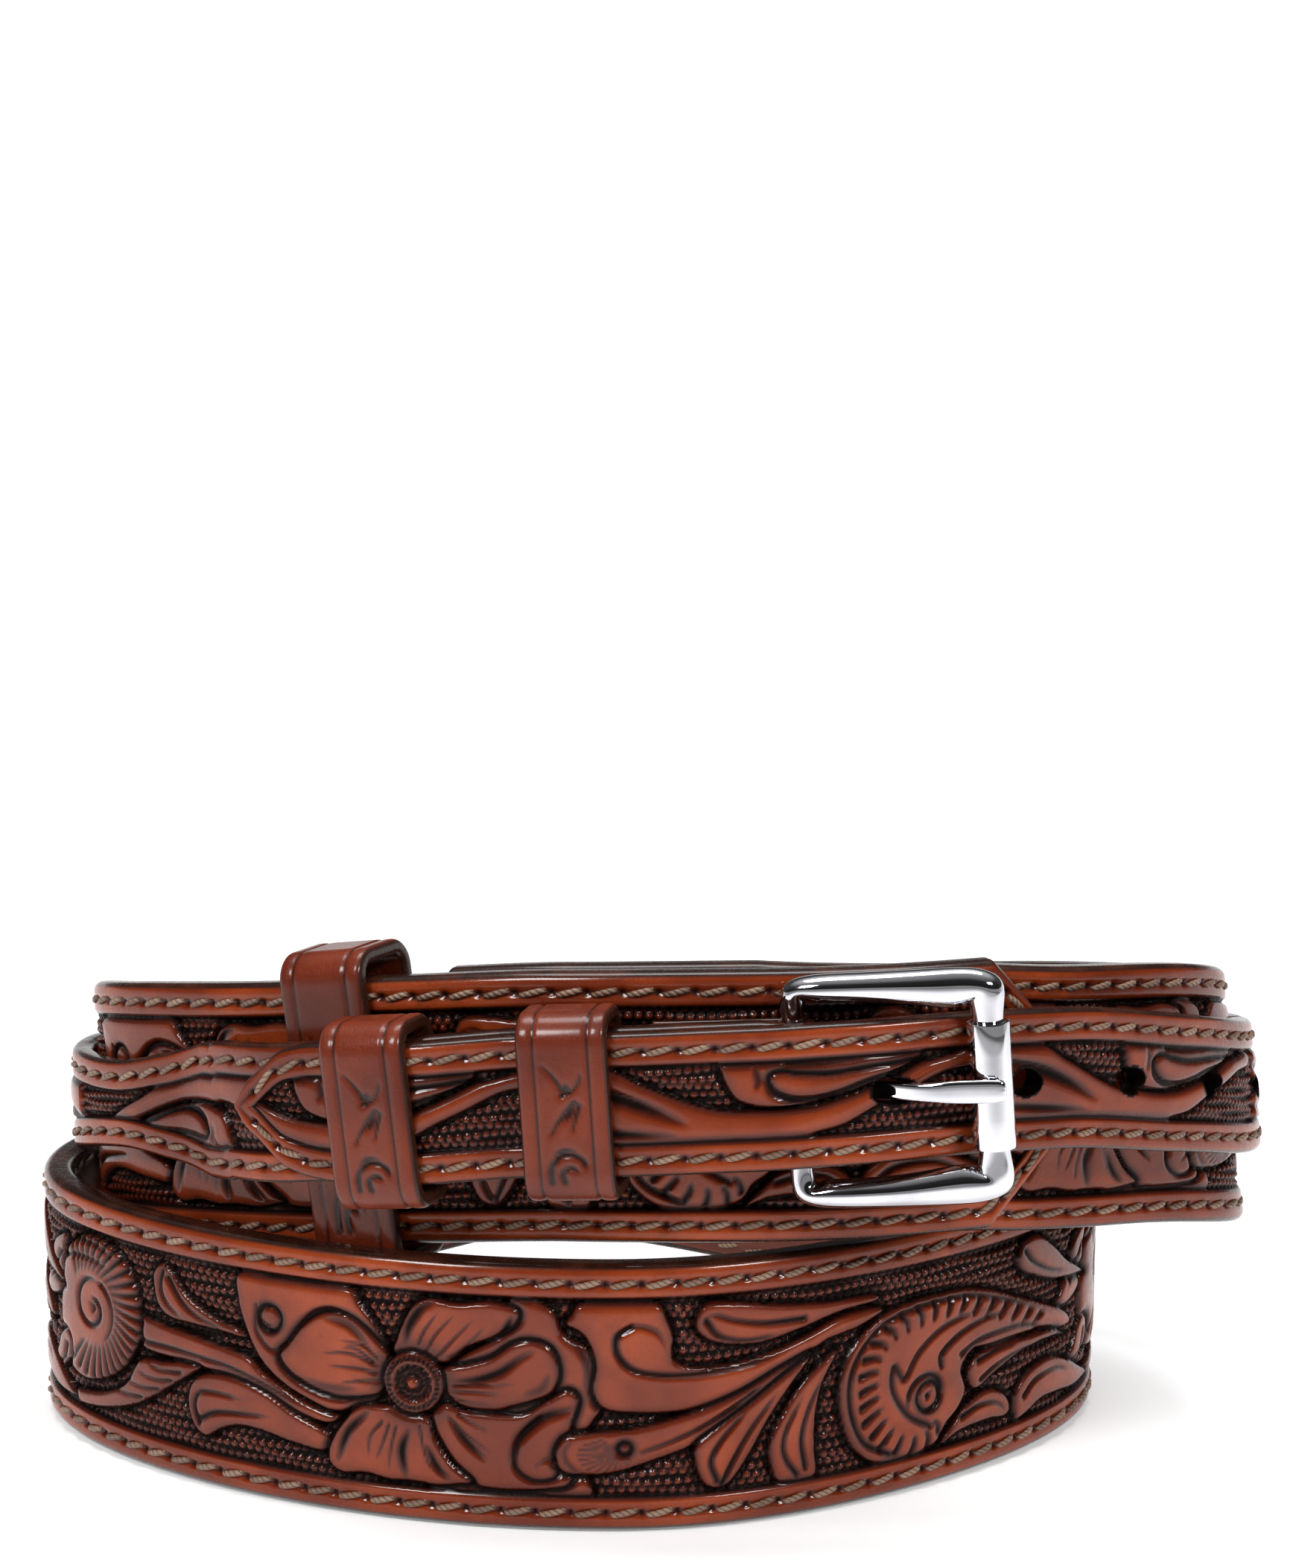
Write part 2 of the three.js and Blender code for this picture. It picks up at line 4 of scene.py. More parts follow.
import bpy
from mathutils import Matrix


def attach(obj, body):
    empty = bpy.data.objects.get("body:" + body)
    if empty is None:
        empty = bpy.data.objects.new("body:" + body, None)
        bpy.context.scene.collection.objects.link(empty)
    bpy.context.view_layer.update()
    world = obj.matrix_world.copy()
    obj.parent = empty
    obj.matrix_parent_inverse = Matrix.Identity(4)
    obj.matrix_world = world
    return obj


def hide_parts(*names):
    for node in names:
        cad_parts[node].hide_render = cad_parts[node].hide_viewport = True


bl_info = {
    "name": "Western tooled belt",
    "version": (1, 0, 0),
    "blender": (4, 5, 0),
    "location": "3D Viewport > Sidebar > Belt",
    "description": "Carved leather, stitching, keepers and polished buckle of a coiled western belt",
    "category": "Add Mesh",
}

import math

import bpy
import numpy as np
from mathutils import Vector

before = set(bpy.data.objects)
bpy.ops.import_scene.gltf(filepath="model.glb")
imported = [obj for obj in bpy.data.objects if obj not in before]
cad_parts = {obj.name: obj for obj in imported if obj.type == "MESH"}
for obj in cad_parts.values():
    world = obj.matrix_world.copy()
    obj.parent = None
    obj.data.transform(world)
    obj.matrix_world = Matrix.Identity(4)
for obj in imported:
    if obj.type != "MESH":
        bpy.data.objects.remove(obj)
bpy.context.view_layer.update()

# Where the solid model's own drawing lies in the shared frame, in millimetres.
SHIFT = np.array([-0.283, -0.2, 0.0])

BODY_WIDTH = 38.0
BODY_THICK = 4.5
BILLET_WIDTH = 19.6
BILLET_THICK = 3.3
GAP = 0.3
RIM_GAP = 2.6
END_SLOPE = 0.87
COIL_HALF_WIDTH = 90.0
COIL_HALF_DEPTH = 58.0
KEEPER_THICK = 2.3
BUCKLE_HEIGHT = 32.0
BUCKLE_TURN = 4.0
ARM_HEIGHT = 3.7
ARM_DEPTH = 4.2
HEEL_RADIUS = 1.4
HEEL_PLAY = 0.2
HEEL_DROP = 0.6
HEEL_X = 20.3
HEEL_TO_ROLLER = 25.6
ROLLER_RADIUS = 2.95
ROLLER_WALL = 0.85
ROLLER_LENGTH = 17.4
ROLLER_PLAY = 0.1
# Room between the roller and the holed strap, and how many degrees the strap slants back there.
ROLLER_REST = 0.5
BEND_SLANT = 15
BAR_RADIUS = ROLLER_RADIUS - ROLLER_WALL - ROLLER_PLAY
PRONG_WIDTH = 2.5
PRONG_THICK = 1.3
PRONG_TIP_WIDTH = 3.3
FOLD_THICK = 1.4
# The smoothing of the buckle's loop draws it in by this much, so its rings start that much fuller.
FULLER = 1.1
SLOT_HEIGHT = 4.2
HOLE_LENGTH = 5.2
HOLE_HEIGHT = 3.8
USED_HOLE_LENGTH = 6.6
USED_HOLE_X = 32.6
HOLE_PITCH = 19.5
HOLE_COUNT = 6
TAIL_LENGTH = 96.0
TIP_LENGTH = 18.0
LAYER_STEP = BODY_THICK + 2.5 * GAP
NARROW_KEEPER_WIDTH = 12.4
WIDE_KEEPER_WIDTH = 13.4
NEAR_KEEPER_X = -1.9
FAR_KEEPER_X = -25.6
WIDE_KEEPER_X = -35.2
NARROW_SLACK = 0.9
WIDE_SLACK = 1.6
KEEPER_CORNER = 1.85
KEEPER_EDGE = 0.85
ROLLER_CHAMFER = 0.35

# Where the straps start and end, in quarter turns of the coil, and how many turns it has.
BODY_START = -0.48
BODY_END = 8.44
FREE_START = 6.13
FREE_END = 8.5
FOLD_TAIL = 1.54
QUARTERS = 8

# Edge finish and tooling, in millimetres.
BODY_SEAM = 2.7
BODY_BORDER = 4.9
BODY_SEAM_START = 1.5
BILLET_SEAM = 2.4
BILLET_BORDER = 4.5
BILLET_SEAM_START = 3.0
FOLD_SEAM_END = 16.0
STITCH_SLANT = -1.0
END_FADE = 3.0
PANEL_REPEAT = 179.0
BILLET_REPEAT = 60.0
KEEPER_REPEAT = 100.0
DRAWING_PIXEL = 0.2
DRAWING_MIDDLE = 0.9
# Depth and width of the knife cuts in the petals.
PETAL_KNIFE = (0.34, 0.2)
# Where along each strap one repeat of its carving begins. It is seen from outside, running the other way.
BODY_DRAWING_START = 560.0
FREE_DRAWING_X = 12.0
FOLD_DRAWING_START = 40.5

# One piece of the scene stays under this many triangles.
MOST_TRIANGLES = 190000

# The photograph's camera: focal length and frame height in its pixels, sensor in millimetres, place in
# metres and degrees down.
FOCAL_PIXELS = 4145
FRAME_PIXELS = 2105
SENSOR = 36.0
CAMERA_PLACE = (-0.00028, -0.4632, 0.163)
CAMERA_DOWN = 8.2

# The lamps' names, places, power, width and height in metres and watts, and the place they all face.
LAMPS = (
    ("top_panel", (0.0, 0.1, 1.1), 9.5, 0.8, 0.4), ("left_panel", (-0.6, -0.75, 0.85), 9.5, 0.3, 0.3),
    ("front_panel", (0.65, -0.8, 0.75), 7.0, 0.3, 0.15),
)
LAMPS_FACE = (0, 0, 0.04)
FLOOR_SIZE = 8
FLOOR_DROP = 0.0003
# How bright the studio's walls are by height, below 0.12 white, and how that dims behind the camera.
STUDIO_LIGHT = 1.1
WALL_GREYS = ((0.12, 1.0), (0.19, 0.05), (0.6, 0.08))
WALL_DIMMING = (("From Min", -0.3), ("From Max", 0.5), ("To Min", 0.3), ("To Max", 1.0))


def curve(points):
    """A smooth function through points that never runs past them between two of them."""
    x, y = np.array(points, float).T
    d = np.diff(y) / np.diff(x)
    m = np.empty(len(x))
    m[0], m[-1] = d[0], d[-1]
    for i in range(1, len(x) - 1):
        m[i] = 0 if d[i - 1] * d[i] <= 0 else 2 * d[i - 1] * d[i] / (d[i - 1] + d[i])

    def value(at):
        at = np.clip(np.asarray(at, float), x[0], x[-1])
        i = np.clip(np.searchsorted(x, at, side="left") - 1, 0, len(x) - 2)
        h = x[i + 1] - x[i]
        t = (at - x[i]) / h
        u = 1 - t
        return y[i] * u * u * (1 + 2 * t) + y[i + 1] * t * t * (3 - 2 * t) + h * (
            m[i] * t * u * u - m[i + 1] * t * t * u)

    return value


# The coil's extreme points, one each quarter turn from before the buckle: share of the half width,
# share of the half depth, and how square the quarter that ends there is.
TURNS = [
    (0.983, -0.147, 0.03), (0.167, -0.892, 0.03), (-0.91, 0.017, 0.03), (-0.089, 0.862, 0.02),
    (0.745, 0.069, 0.02), (-0.056, -0.927, 0.035), (-1.008, 0.052, 0.02), (-0.033, 1.052, 0.02),
    (0.964, -0.052, 0.02),
]
# How high the lower rim stands at each quarter: share of the strap's width, share of the rim gap.
LEVELS = [
    (-1, 1, 0.9), (-0.35, 1, 1), (0, 1, 0.92), (0.2, 1, 0.6), (0.37, 0.985, 0), (0.53, 0.91, 0),
    (0.75, 0.825, 0), (1, 0.73, 0), (1.5, 0.51, 0), (2, 0.3, 0), (2.45, 0.12, 0), (2.75, 0, 0),
    (5.3, 0, 0), (5.6, 0.12, 0), (6, 0.34, 0), (6.5, 0.6, 0), (7, 0.8, 0), (7.34, 0.93, 0),
    (7.56, 0.985, 0), (7.69, 1, 0.3), (8, 1, 0.92),
]
level = curve([(q, a * BODY_WIDTH + b * RIM_GAP) for q, a, b in LEVELS])
lean = curve([(0, 0), (5.6, 0), (6.4, 2), (6.9, 6), (7.1, 6), (7.4, 1.5), (7.6, 0), (8, 0)])


def unit(v):
    return v / np.linalg.norm(v, axis=-1, keepdims=True)


def quarter(end, side, part, square):
    """One quarter of a squarish ellipse seen from above, from end to side, at a part of the way."""
    a = part * math.pi / 2
    s = (1 - square) * np.sin(a) - square * np.sin(3 * a)
    c = (1 - square) * np.cos(a) + square * np.cos(3 * a)
    return end[0] + (side[0] - end[0]) * s, end[1] + (side[1] - end[1]) * (1 - c)


def turn_point(k):
    """The coil's k-th extreme point. The last lies one layer behind the first."""
    if k == QUARTERS:
        x, y = turn_point(0)
        return x, y + LAYER_STEP
    return TURNS[k + 1][0] * COIL_HALF_WIDTH, TURNS[k + 1][1] * COIL_HALF_DEPTH


def first_plan(q):
    """The coil seen from above up to its last quarter."""
    x, y = np.zeros_like(q), np.zeros_like(q)
    for k in range(-1, QUARTERS):
        on = np.minimum(QUARTERS - 1, np.floor(q)) == k
        if on.any():
            square = TURNS[1][2] if k == QUARTERS - 1 else TURNS[k + 2][2]
            a, b = turn_point(k), turn_point(k + 1)
            if k % 2 == 0:
                x[on], y[on] = quarter(a, b, q[on] - k, square)
            else:
                x[on], y[on] = quarter(b, a, k + 1 - q[on], square)
    return x, y


def plan(q):
    """The strap's middle line seen from above, at each quarter turn q."""
    q = np.atleast_1d(np.asarray(q, float))
    past = q > QUARTERS
    own = np.where(past, q - QUARTERS, q)
    x, y = first_plan(own)
    x2, y2 = first_plan(own + 0.001)
    l = np.hypot(x2 - x, y2 - y)
    return (np.where(past, x + LAYER_STEP * (y2 - y) / l, x),
            np.where(past, y - LAYER_STEP * (x2 - x) / l, y))


def stand(ahead, lean_degrees):
    """Along, up the strap, and outward, for a strap on edge that runs ahead."""
    t = unit(ahead)
    up = unit(np.array([0, 0, 1.0]) - t * t[..., 2:3])
    out = np.cross(up, t)
    a = np.radians(lean_degrees)[..., None]
    u = up * np.cos(a) - out * np.sin(a)
    return t, u, np.cross(u, t)


class Line:
    """The middle line of a strap with its own axes, read by length along it."""

    def __init__(self, p, t, u, n, thick=None):
        self.p, self.t, self.u, self.n = p, t, u, n
        self.thick = np.full(len(p), thick) if np.isscalar(thick) else thick
        self.s = np.r_[0, np.cumsum(np.linalg.norm(np.diff(p, axis=0), axis=1))]
        self.length = self.s[-1]

    def at(self, s):
        def read(a):
            return np.stack([np.interp(s, self.s, a[:, k]) for k in range(3)], -1)
        return read(self.p), unit(read(self.t)), unit(read(self.u)), unit(read(self.n))

    def thick_at(self, s):
        return np.interp(s, self.s, self.thick)


def body_place(q):
    """The wide strap's middle line with its axes along, up and outward."""
    q = np.atleast_1d(np.asarray(q, float))

    def mid(k):
        x, y = plan(k)
        return np.stack([x, y, level(np.where(k > QUARTERS, k - QUARTERS, k))], -1)

    t, u, n = stand(mid(q + 0.002) - mid(q - 0.002), lean(q))
    p = mid(q)
    p[:, 2] += BODY_WIDTH / 2 * u[:, 2]
    return p, t, u, n


def beside(q, out, up):
    """Points so far outward and up from the wide strap's middle line."""
    p, _, u, n = body_place(q)
    return p + n * np.atleast_1d(out)[:, None] + u * np.atleast_1d(up)[:, None]


SEWN_OUT = BODY_THICK / 2 + 1.3 * GAP + BILLET_THICK / 2
OVER_KEEPER = BODY_THICK / 2 + GAP + KEEPER_THICK + GAP + BILLET_THICK / 2 + 0.1
OVER_TWO = OVER_KEEPER + KEEPER_THICK + GAP + 0.1
STACK_STEP = BILLET_THICK + GAP
SEWN_LIFT = 0.08 * BILLET_WIDTH
# Along the front, by quarter turns: how far up and how far out the narrow straps lie. Then the outline
# of the leaf tails and the tip by share of their length, and the free strap's rise over the right bend.
lift = curve([(-0.6, 0.26), (-0.3, 0.24), (0, 0.18), (0.15, 0.14), (0.3, 0.12), (0.55, 0.1), (0.8, 0.08)])
out_at = curve([
    (-0.3, OVER_KEEPER), (0.235, OVER_KEEPER), (0.285, (OVER_KEEPER + OVER_TWO) / 2), (0.335, OVER_TWO),
    (0.46, OVER_TWO), (0.64, SEWN_OUT), (1, SEWN_OUT),
])
leaf_width = curve([
    (0, 0.06), (0.02, 0.16), (0.1, 0.42), (0.2, 0.8), (0.32, 0.98), (0.45, 0.95), (0.62, 0.76),
    (0.78, 0.66), (0.9, 0.8), (1, 1),
])
tip_width = curve([(0, 0.06), (0.07, 0.3), (0.2, 0.5), (0.45, 0.86), (0.72, 0.97), (1, 1)])
front_rise = curve([(0, 0), (0.15, 0.18), (0.38, 0.6), (0.6, 0.97), (0.77, 1.06), (0.9, 1.04), (1, 1)])
tip_lift = curve([(0, 0), (0.34, 0), (0.48, 0.1), (0.6, 0.16)])


def top_at(q):
    """How far out the holed strap lies where it runs over the buckle's strap."""
    return np.where(q < 0.44, out_at(q + 0.015), OVER_TWO) + STACK_STEP


def free_mid(q):
    """The long narrow strap's middle line: sewn on, then free across the right bend, then on the stack."""
    q = np.asarray(q, float)
    last_sewn = QUARTERS - 1
    bend = beside(float(last_sewn), SEWN_OUT, SEWN_LIFT)[0]
    front = beside(0.0, top_at(0.0), lift(0.0) * BILLET_WIDTH)[0]
    p = np.zeros((len(q), 3))
    a, b = q <= last_sewn, q >= QUARTERS
    p[a] = beside(q[a], np.full(a.sum(), SEWN_OUT), np.full(a.sum(), SEWN_LIFT))
    r = q[b] - QUARTERS
    p[b] = beside(r, top_at(r), (lift(r) + tip_lift(r)) * BILLET_WIDTH)
    c = ~a & ~b
    x, y = quarter(front[:2], bend[:2], QUARTERS - q[c], 0.03)
    p[c] = np.stack([x, y, bend[2] + (front[2] - bend[2]) * front_rise(q[c] - last_sewn)], -1)
    return p


def along(p):
    """Differences from point to point of a row, one for each point."""
    return p[np.minimum(np.arange(len(p)) + 1, len(p) - 1)] - p[np.maximum(np.arange(len(p)) - 1, 0)]


BODY = Line(*body_place(np.arange(BODY_START, BODY_END + 1e-9, 0.005)), BODY_THICK)
free_q = np.arange(FREE_START, FREE_END + 1e-9, 0.01)
free_p = free_mid(free_q)
FREE = Line(free_p, *stand(along(free_p), lean(free_q)), BILLET_THICK)


def nearest_front(x):
    """The index of the long narrow strap's point at x, on the front of the upper turn."""
    far = np.where((FREE.p[:, 2] > BODY_WIDTH) & (FREE.p[:, 1] < 0), np.abs(FREE.p[:, 0] - x), 1e9)
    return int(np.argmin(far))


FOLD_RADIUS = HEEL_RADIUS + HEEL_PLAY + FOLD_THICK
heel_at = FREE.p[nearest_front(HEEL_X)]
HEEL = np.array([HEEL_X, heel_at[1] + BILLET_THICK / 2 + GAP + FOLD_RADIUS + 0.05, heel_at[2] - HEEL_DROP])
roller_at = FREE.p[nearest_front(HEEL_X + HEEL_TO_ROLLER)]
ROLLER = np.array([
    roller_at[0],
    roller_at[1] - (BILLET_THICK / 2 + GAP + ROLLER_RADIUS + ROLLER_REST)
    / math.cos(math.radians(BEND_SLANT)),
    HEEL[2] + math.tan(math.radians(BUCKLE_TURN)) * HEEL_TO_ROLLER,
])
AXIS_A = unit(ROLLER - HEEL)
AXIS_B = unit(np.array([0, 0, 1.0]) - AXIS_A * AXIS_A[2])
AXIS_C = np.cross(AXIS_A, AXIS_B)
REACH = float(np.linalg.norm(ROLLER - HEEL))


def in_buckle(a, b, c):
    """A point of the buckle: a from the heel bar to the roller, b up, c outward."""
    return HEEL + AXIS_A * a + AXIS_B * b + AXIS_C * c


def fold_line():
    """The short narrow strap: leaf-shaped tail, along the body, round the heel bar and back."""
    q = np.arange(FOLD_TAIL, -0.0051, -0.01)
    p = list(beside(q, out_at(q), np.where(q > 0.55, 0.08, lift(q)) * BILLET_WIDTH))
    thick = [BILLET_THICK] * len(p)
    ups = [None] * len(p)
    r = HEEL_RADIUS + HEEL_PLAY + FOLD_THICK / 2
    turn = [in_buckle(r * math.cos(math.radians(d)), 0, r * math.sin(math.radians(d)))
            for d in np.arange(100, -111, -10.5)]
    half = (p[-1] + turn[0]) / 2
    p.append(half)
    thick.append((BILLET_THICK + FOLD_THICK) / 2)
    ups.append(None)
    p += turn
    thick += [FOLD_THICK] * len(turn)
    ups += [AXIS_B] * len(turn)
    flap = beside(0.1, OVER_KEEPER - BILLET_THICK / 2 - GAP - FOLD_THICK / 2, lift(0.1) * BILLET_WIDTH)[0]
    p += [(turn[-1] + flap) / 2, flap]
    thick += [FOLD_THICK] * 2
    ups += [None] * 2
    p = np.array(p)
    t, u, n = stand(-along(p), np.zeros(len(p)))
    for i, up in enumerate(ups):
        if up is not None:
            u[i] = up
            n[i] = unit(np.cross(u[i], t[i]))
    return Line(p, -t, -u, n, np.array(thick))


FOLD = fold_line()


def through(points, closed=False, step=0.35):
    """A dense smooth line through given points."""
    p = np.array(points, float)
    n = len(p)
    if closed:
        p = np.vstack([p[-1], p, p[0], p[1]])
    else:
        p = np.vstack([2 * p[0] - p[1], p, 2 * p[-1] - p[-2]])
    rows = []
    for i in range(n if closed else n - 1):
        a, b, c, d = p[i:i + 4]
        k = max(2, int(np.linalg.norm(c - b) / step))
        t = np.arange(k)[:, None] / k
        rows.append(0.5 * (2 * b + (c - a) * t + (2 * a - 5 * b + 4 * c - d) * t ** 2
                           + (3 * b - a - 3 * c + d) * t ** 3))
    if not closed:
        rows.append(p[-2:-1])
    return np.vstack(rows)


class Tooling:
    """A strip of leather seen flat. Shapes are raised one over another, with a bevelled ground round
    each, cut lines, and stamped beads in the ground. height is in millimetres; the other grid is how much
    dark finish has settled there, the same share that later lays painted shade in the straps' holes."""

    def __init__(self, length, low, high, middle=0.0):
        self.length, self.low, self.middle = length, low + middle, middle
        self.nx = int(round(length / DRAWING_PIXEL))
        self.ny = int(round((high - low) / DRAWING_PIXEL)) + 1
        self.x = (np.arange(self.nx) + 0.5) * DRAWING_PIXEL
        self.y = self.low + np.arange(self.ny) * DRAWING_PIXEL
        self.height = np.zeros((self.ny, self.nx), np.float32)
        self.finish_and_shade = np.zeros((self.ny, self.nx), np.float32)

    def beads(self, pitch=1.38, ground=-0.8):
        """Rows of small round beads all over, as a seeding tool leaves them."""
        rows = pitch * 0.9
        k = max(1, round(self.length / pitch))
        px = self.length / k
        row = np.round(self.y / rows)
        wander = 0.18 * np.sin(self.x[None] * 0.37 + row[:, None] * 2.1)
        dy = self.y[:, None] - row[:, None] * rows + wander
        dx = self.x[None] / px + 0.5 * (row[:, None] % 2)
        dx = (dx - np.round(dx)) * px
        r = np.hypot(dx, dy) / (pitch * 0.46)
        dome = np.sqrt(np.clip(1 - r * r, 0, 1))
        self.height[:] = ground + 0.62 * dome
        self.finish_and_shade[:] = 1 - 0.82 * np.clip(dome * 1.6 - 0.5, 0, 1)

    def window(self, line, margin):
        i0 = int(np.floor((line[:, 0].min() - margin) / DRAWING_PIXEL))
        i1 = int(np.ceil((line[:, 0].max() + margin) / DRAWING_PIXEL))
        j0 = max(0, int((line[:, 1].min() - margin - self.low) / DRAWING_PIXEL))
        j1 = min(self.ny, int((line[:, 1].max() + margin - self.low) / DRAWING_PIXEL) + 2)
        cols = np.arange(i0, i1 + 1)
        gx = (cols + 0.5) * DRAWING_PIXEL
        gy = self.y[j0:j1]
        return np.ix_(np.arange(j0, j1), cols % self.nx), *np.meshgrid(gx, gy)

    @staticmethod
    def reach_of(line, gx, gy, closed):
        """Distance to a line, the share of the line at the nearest place, and inside or not."""
        a = line.astype(np.float32)
        b = np.roll(a, -1, 0) if closed else a[1:]
        a = a if closed else a[:-1]
        x, y = gx.ravel().astype(np.float32), gy.ravel().astype(np.float32)
        best = np.full(x.shape, 1e9, np.float32)
        where = np.zeros(x.shape, np.float32)
        inside = np.zeros(x.shape, bool)
        for i in range(len(a)):
            ex, ey = b[i] - a[i]
            px, py = x - a[i, 0], y - a[i, 1]
            f = np.clip((px * ex + py * ey) / max(ex * ex + ey * ey, 1e-9), 0, 1)
            d = (px - f * ex) ** 2 + (py - f * ey) ** 2
            near = d < best
            best[near] = d[near]
            where[near] = (i + f[near]) / len(a)
            if closed and a[i, 1] != b[i, 1]:
                cross = ((a[i, 1] > y) != (b[i, 1] > y)) & (
                    x < ex * (y - a[i, 1]) / (b[i, 1] - a[i, 1]) + a[i, 0])
                inside ^= cross
        s = gx.shape
        return np.sqrt(best).reshape(s), where.reshape(s), inside.reshape(s)

    def shape(self, points, top=0.0, dome=0.22, bevel=0.5, hollow=0.0):
        """Raises the inside of a closed outline, bevels the ground outside it and cuts its edge."""
        line = through(points, True)
        at, gx, gy = self.window(line, 2.6)
        d, _, inside = self.reach_of(line, gx, gy, True)
        h, w = self.height[at], self.finish_and_shade[at]
        swell = top + dome * (1 - np.exp(-d / 1.1)) - hollow * (1 - np.exp(-d / 2.2))
        edge = 0.16 * np.exp(-(d / 0.35) ** 2)
        h = np.where(inside, swell - edge, h - bevel * np.exp(-(d / 0.8) ** 2))
        h -= 0.3 * np.exp(-(d / 0.22) ** 2)
        w = np.where(inside, 0.45 * np.exp(-(d / 1.0) ** 1.5), np.maximum(w, np.exp(-(d / 0.85) ** 2)))
        w = np.maximum(w, np.exp(-(d / 0.3) ** 2))
        self.height[at], self.finish_and_shade[at] = h, w

    def cut(self, points, depth=0.42, width=0.24, start=0.7, end=0.1, stain_and_shade=0.95):
        """A knife cut that gets thinner from its start to its end."""
        line = through(points)
        at, gx, gy = self.window(line, 1.6)
        d, where, _ = self.reach_of(line, gx, gy, False)
        size = np.clip(start + (end - start) * where, 0.05, 1) ** 0.6
        size = size * np.clip((1 - where) * 6, 0.2, 1)
        wide = width * (0.55 + 0.75 * size)
        mark = np.exp(-(d / wide) ** 2) * size
        self.height[at] -= depth * mark
        self.finish_and_shade[at] = np.maximum(self.finish_and_shade[at], stain_and_shade * np.exp(-(d / (wide * 1.15)) ** 2) * size ** 0.5)

    def dent(self, points, width=0.9, depth=0.45, stain_and_shade=0.95):
        """A wide soft hollow, dark at its middle, as a shading tool leaves it."""
        line = through(points)
        at, gx, gy = self.window(line, width * 2.4)
        d, where, _ = self.reach_of(line, gx, gy, False)
        size = np.sin(math.pi * np.clip(where * 0.9 + 0.08, 0, 1)) ** 0.5
        mark = np.exp(-(d / (width * (0.4 + 0.6 * size))) ** 2)
        self.height[at] -= depth * mark * size
        self.finish_and_shade[at] = np.maximum(self.finish_and_shade[at], stain_and_shade * mark * size)

    def eyelet(self, x, y, r):
        """A small raised ring of a curl's end with a pit in it."""
        t = np.arange(0, 360, 30)
        ring = np.stack([x + r * np.cos(np.radians(t)), y + r * np.sin(np.radians(t))], -1)
        self.shape(ring, top=0.05, bevel=0.25)

    def read(self, x, y):
        """Height and wash at places, the drawing repeated along the strap."""
        i = (x / DRAWING_PIXEL - 0.5) % self.nx
        j = np.clip((y + self.middle - self.low) / DRAWING_PIXEL, 0, self.ny - 1.001)
        i0, j0 = np.floor(i).astype(int), np.floor(j).astype(int)
        fi, fj = i - i0, j - j0
        i1 = (i0 + 1) % self.nx
        i0 %= self.nx
        return tuple(
            (g[j0, i0] * (1 - fi) + g[j0, i1] * fi) * (1 - fj)
            + (g[j0 + 1, i0] * (1 - fi) + g[j0 + 1, i1] * fi) * fj
            for g in (self.height, self.finish_and_shade))


def leaf(t, outline, *cuts, knife=(0.5, 0.34, 1.0, 0.25), **looks):
    """One raised shape with its knife cuts."""
    t.shape(outline, **looks)
    for line in cuts:
        t.cut(line, *knife)


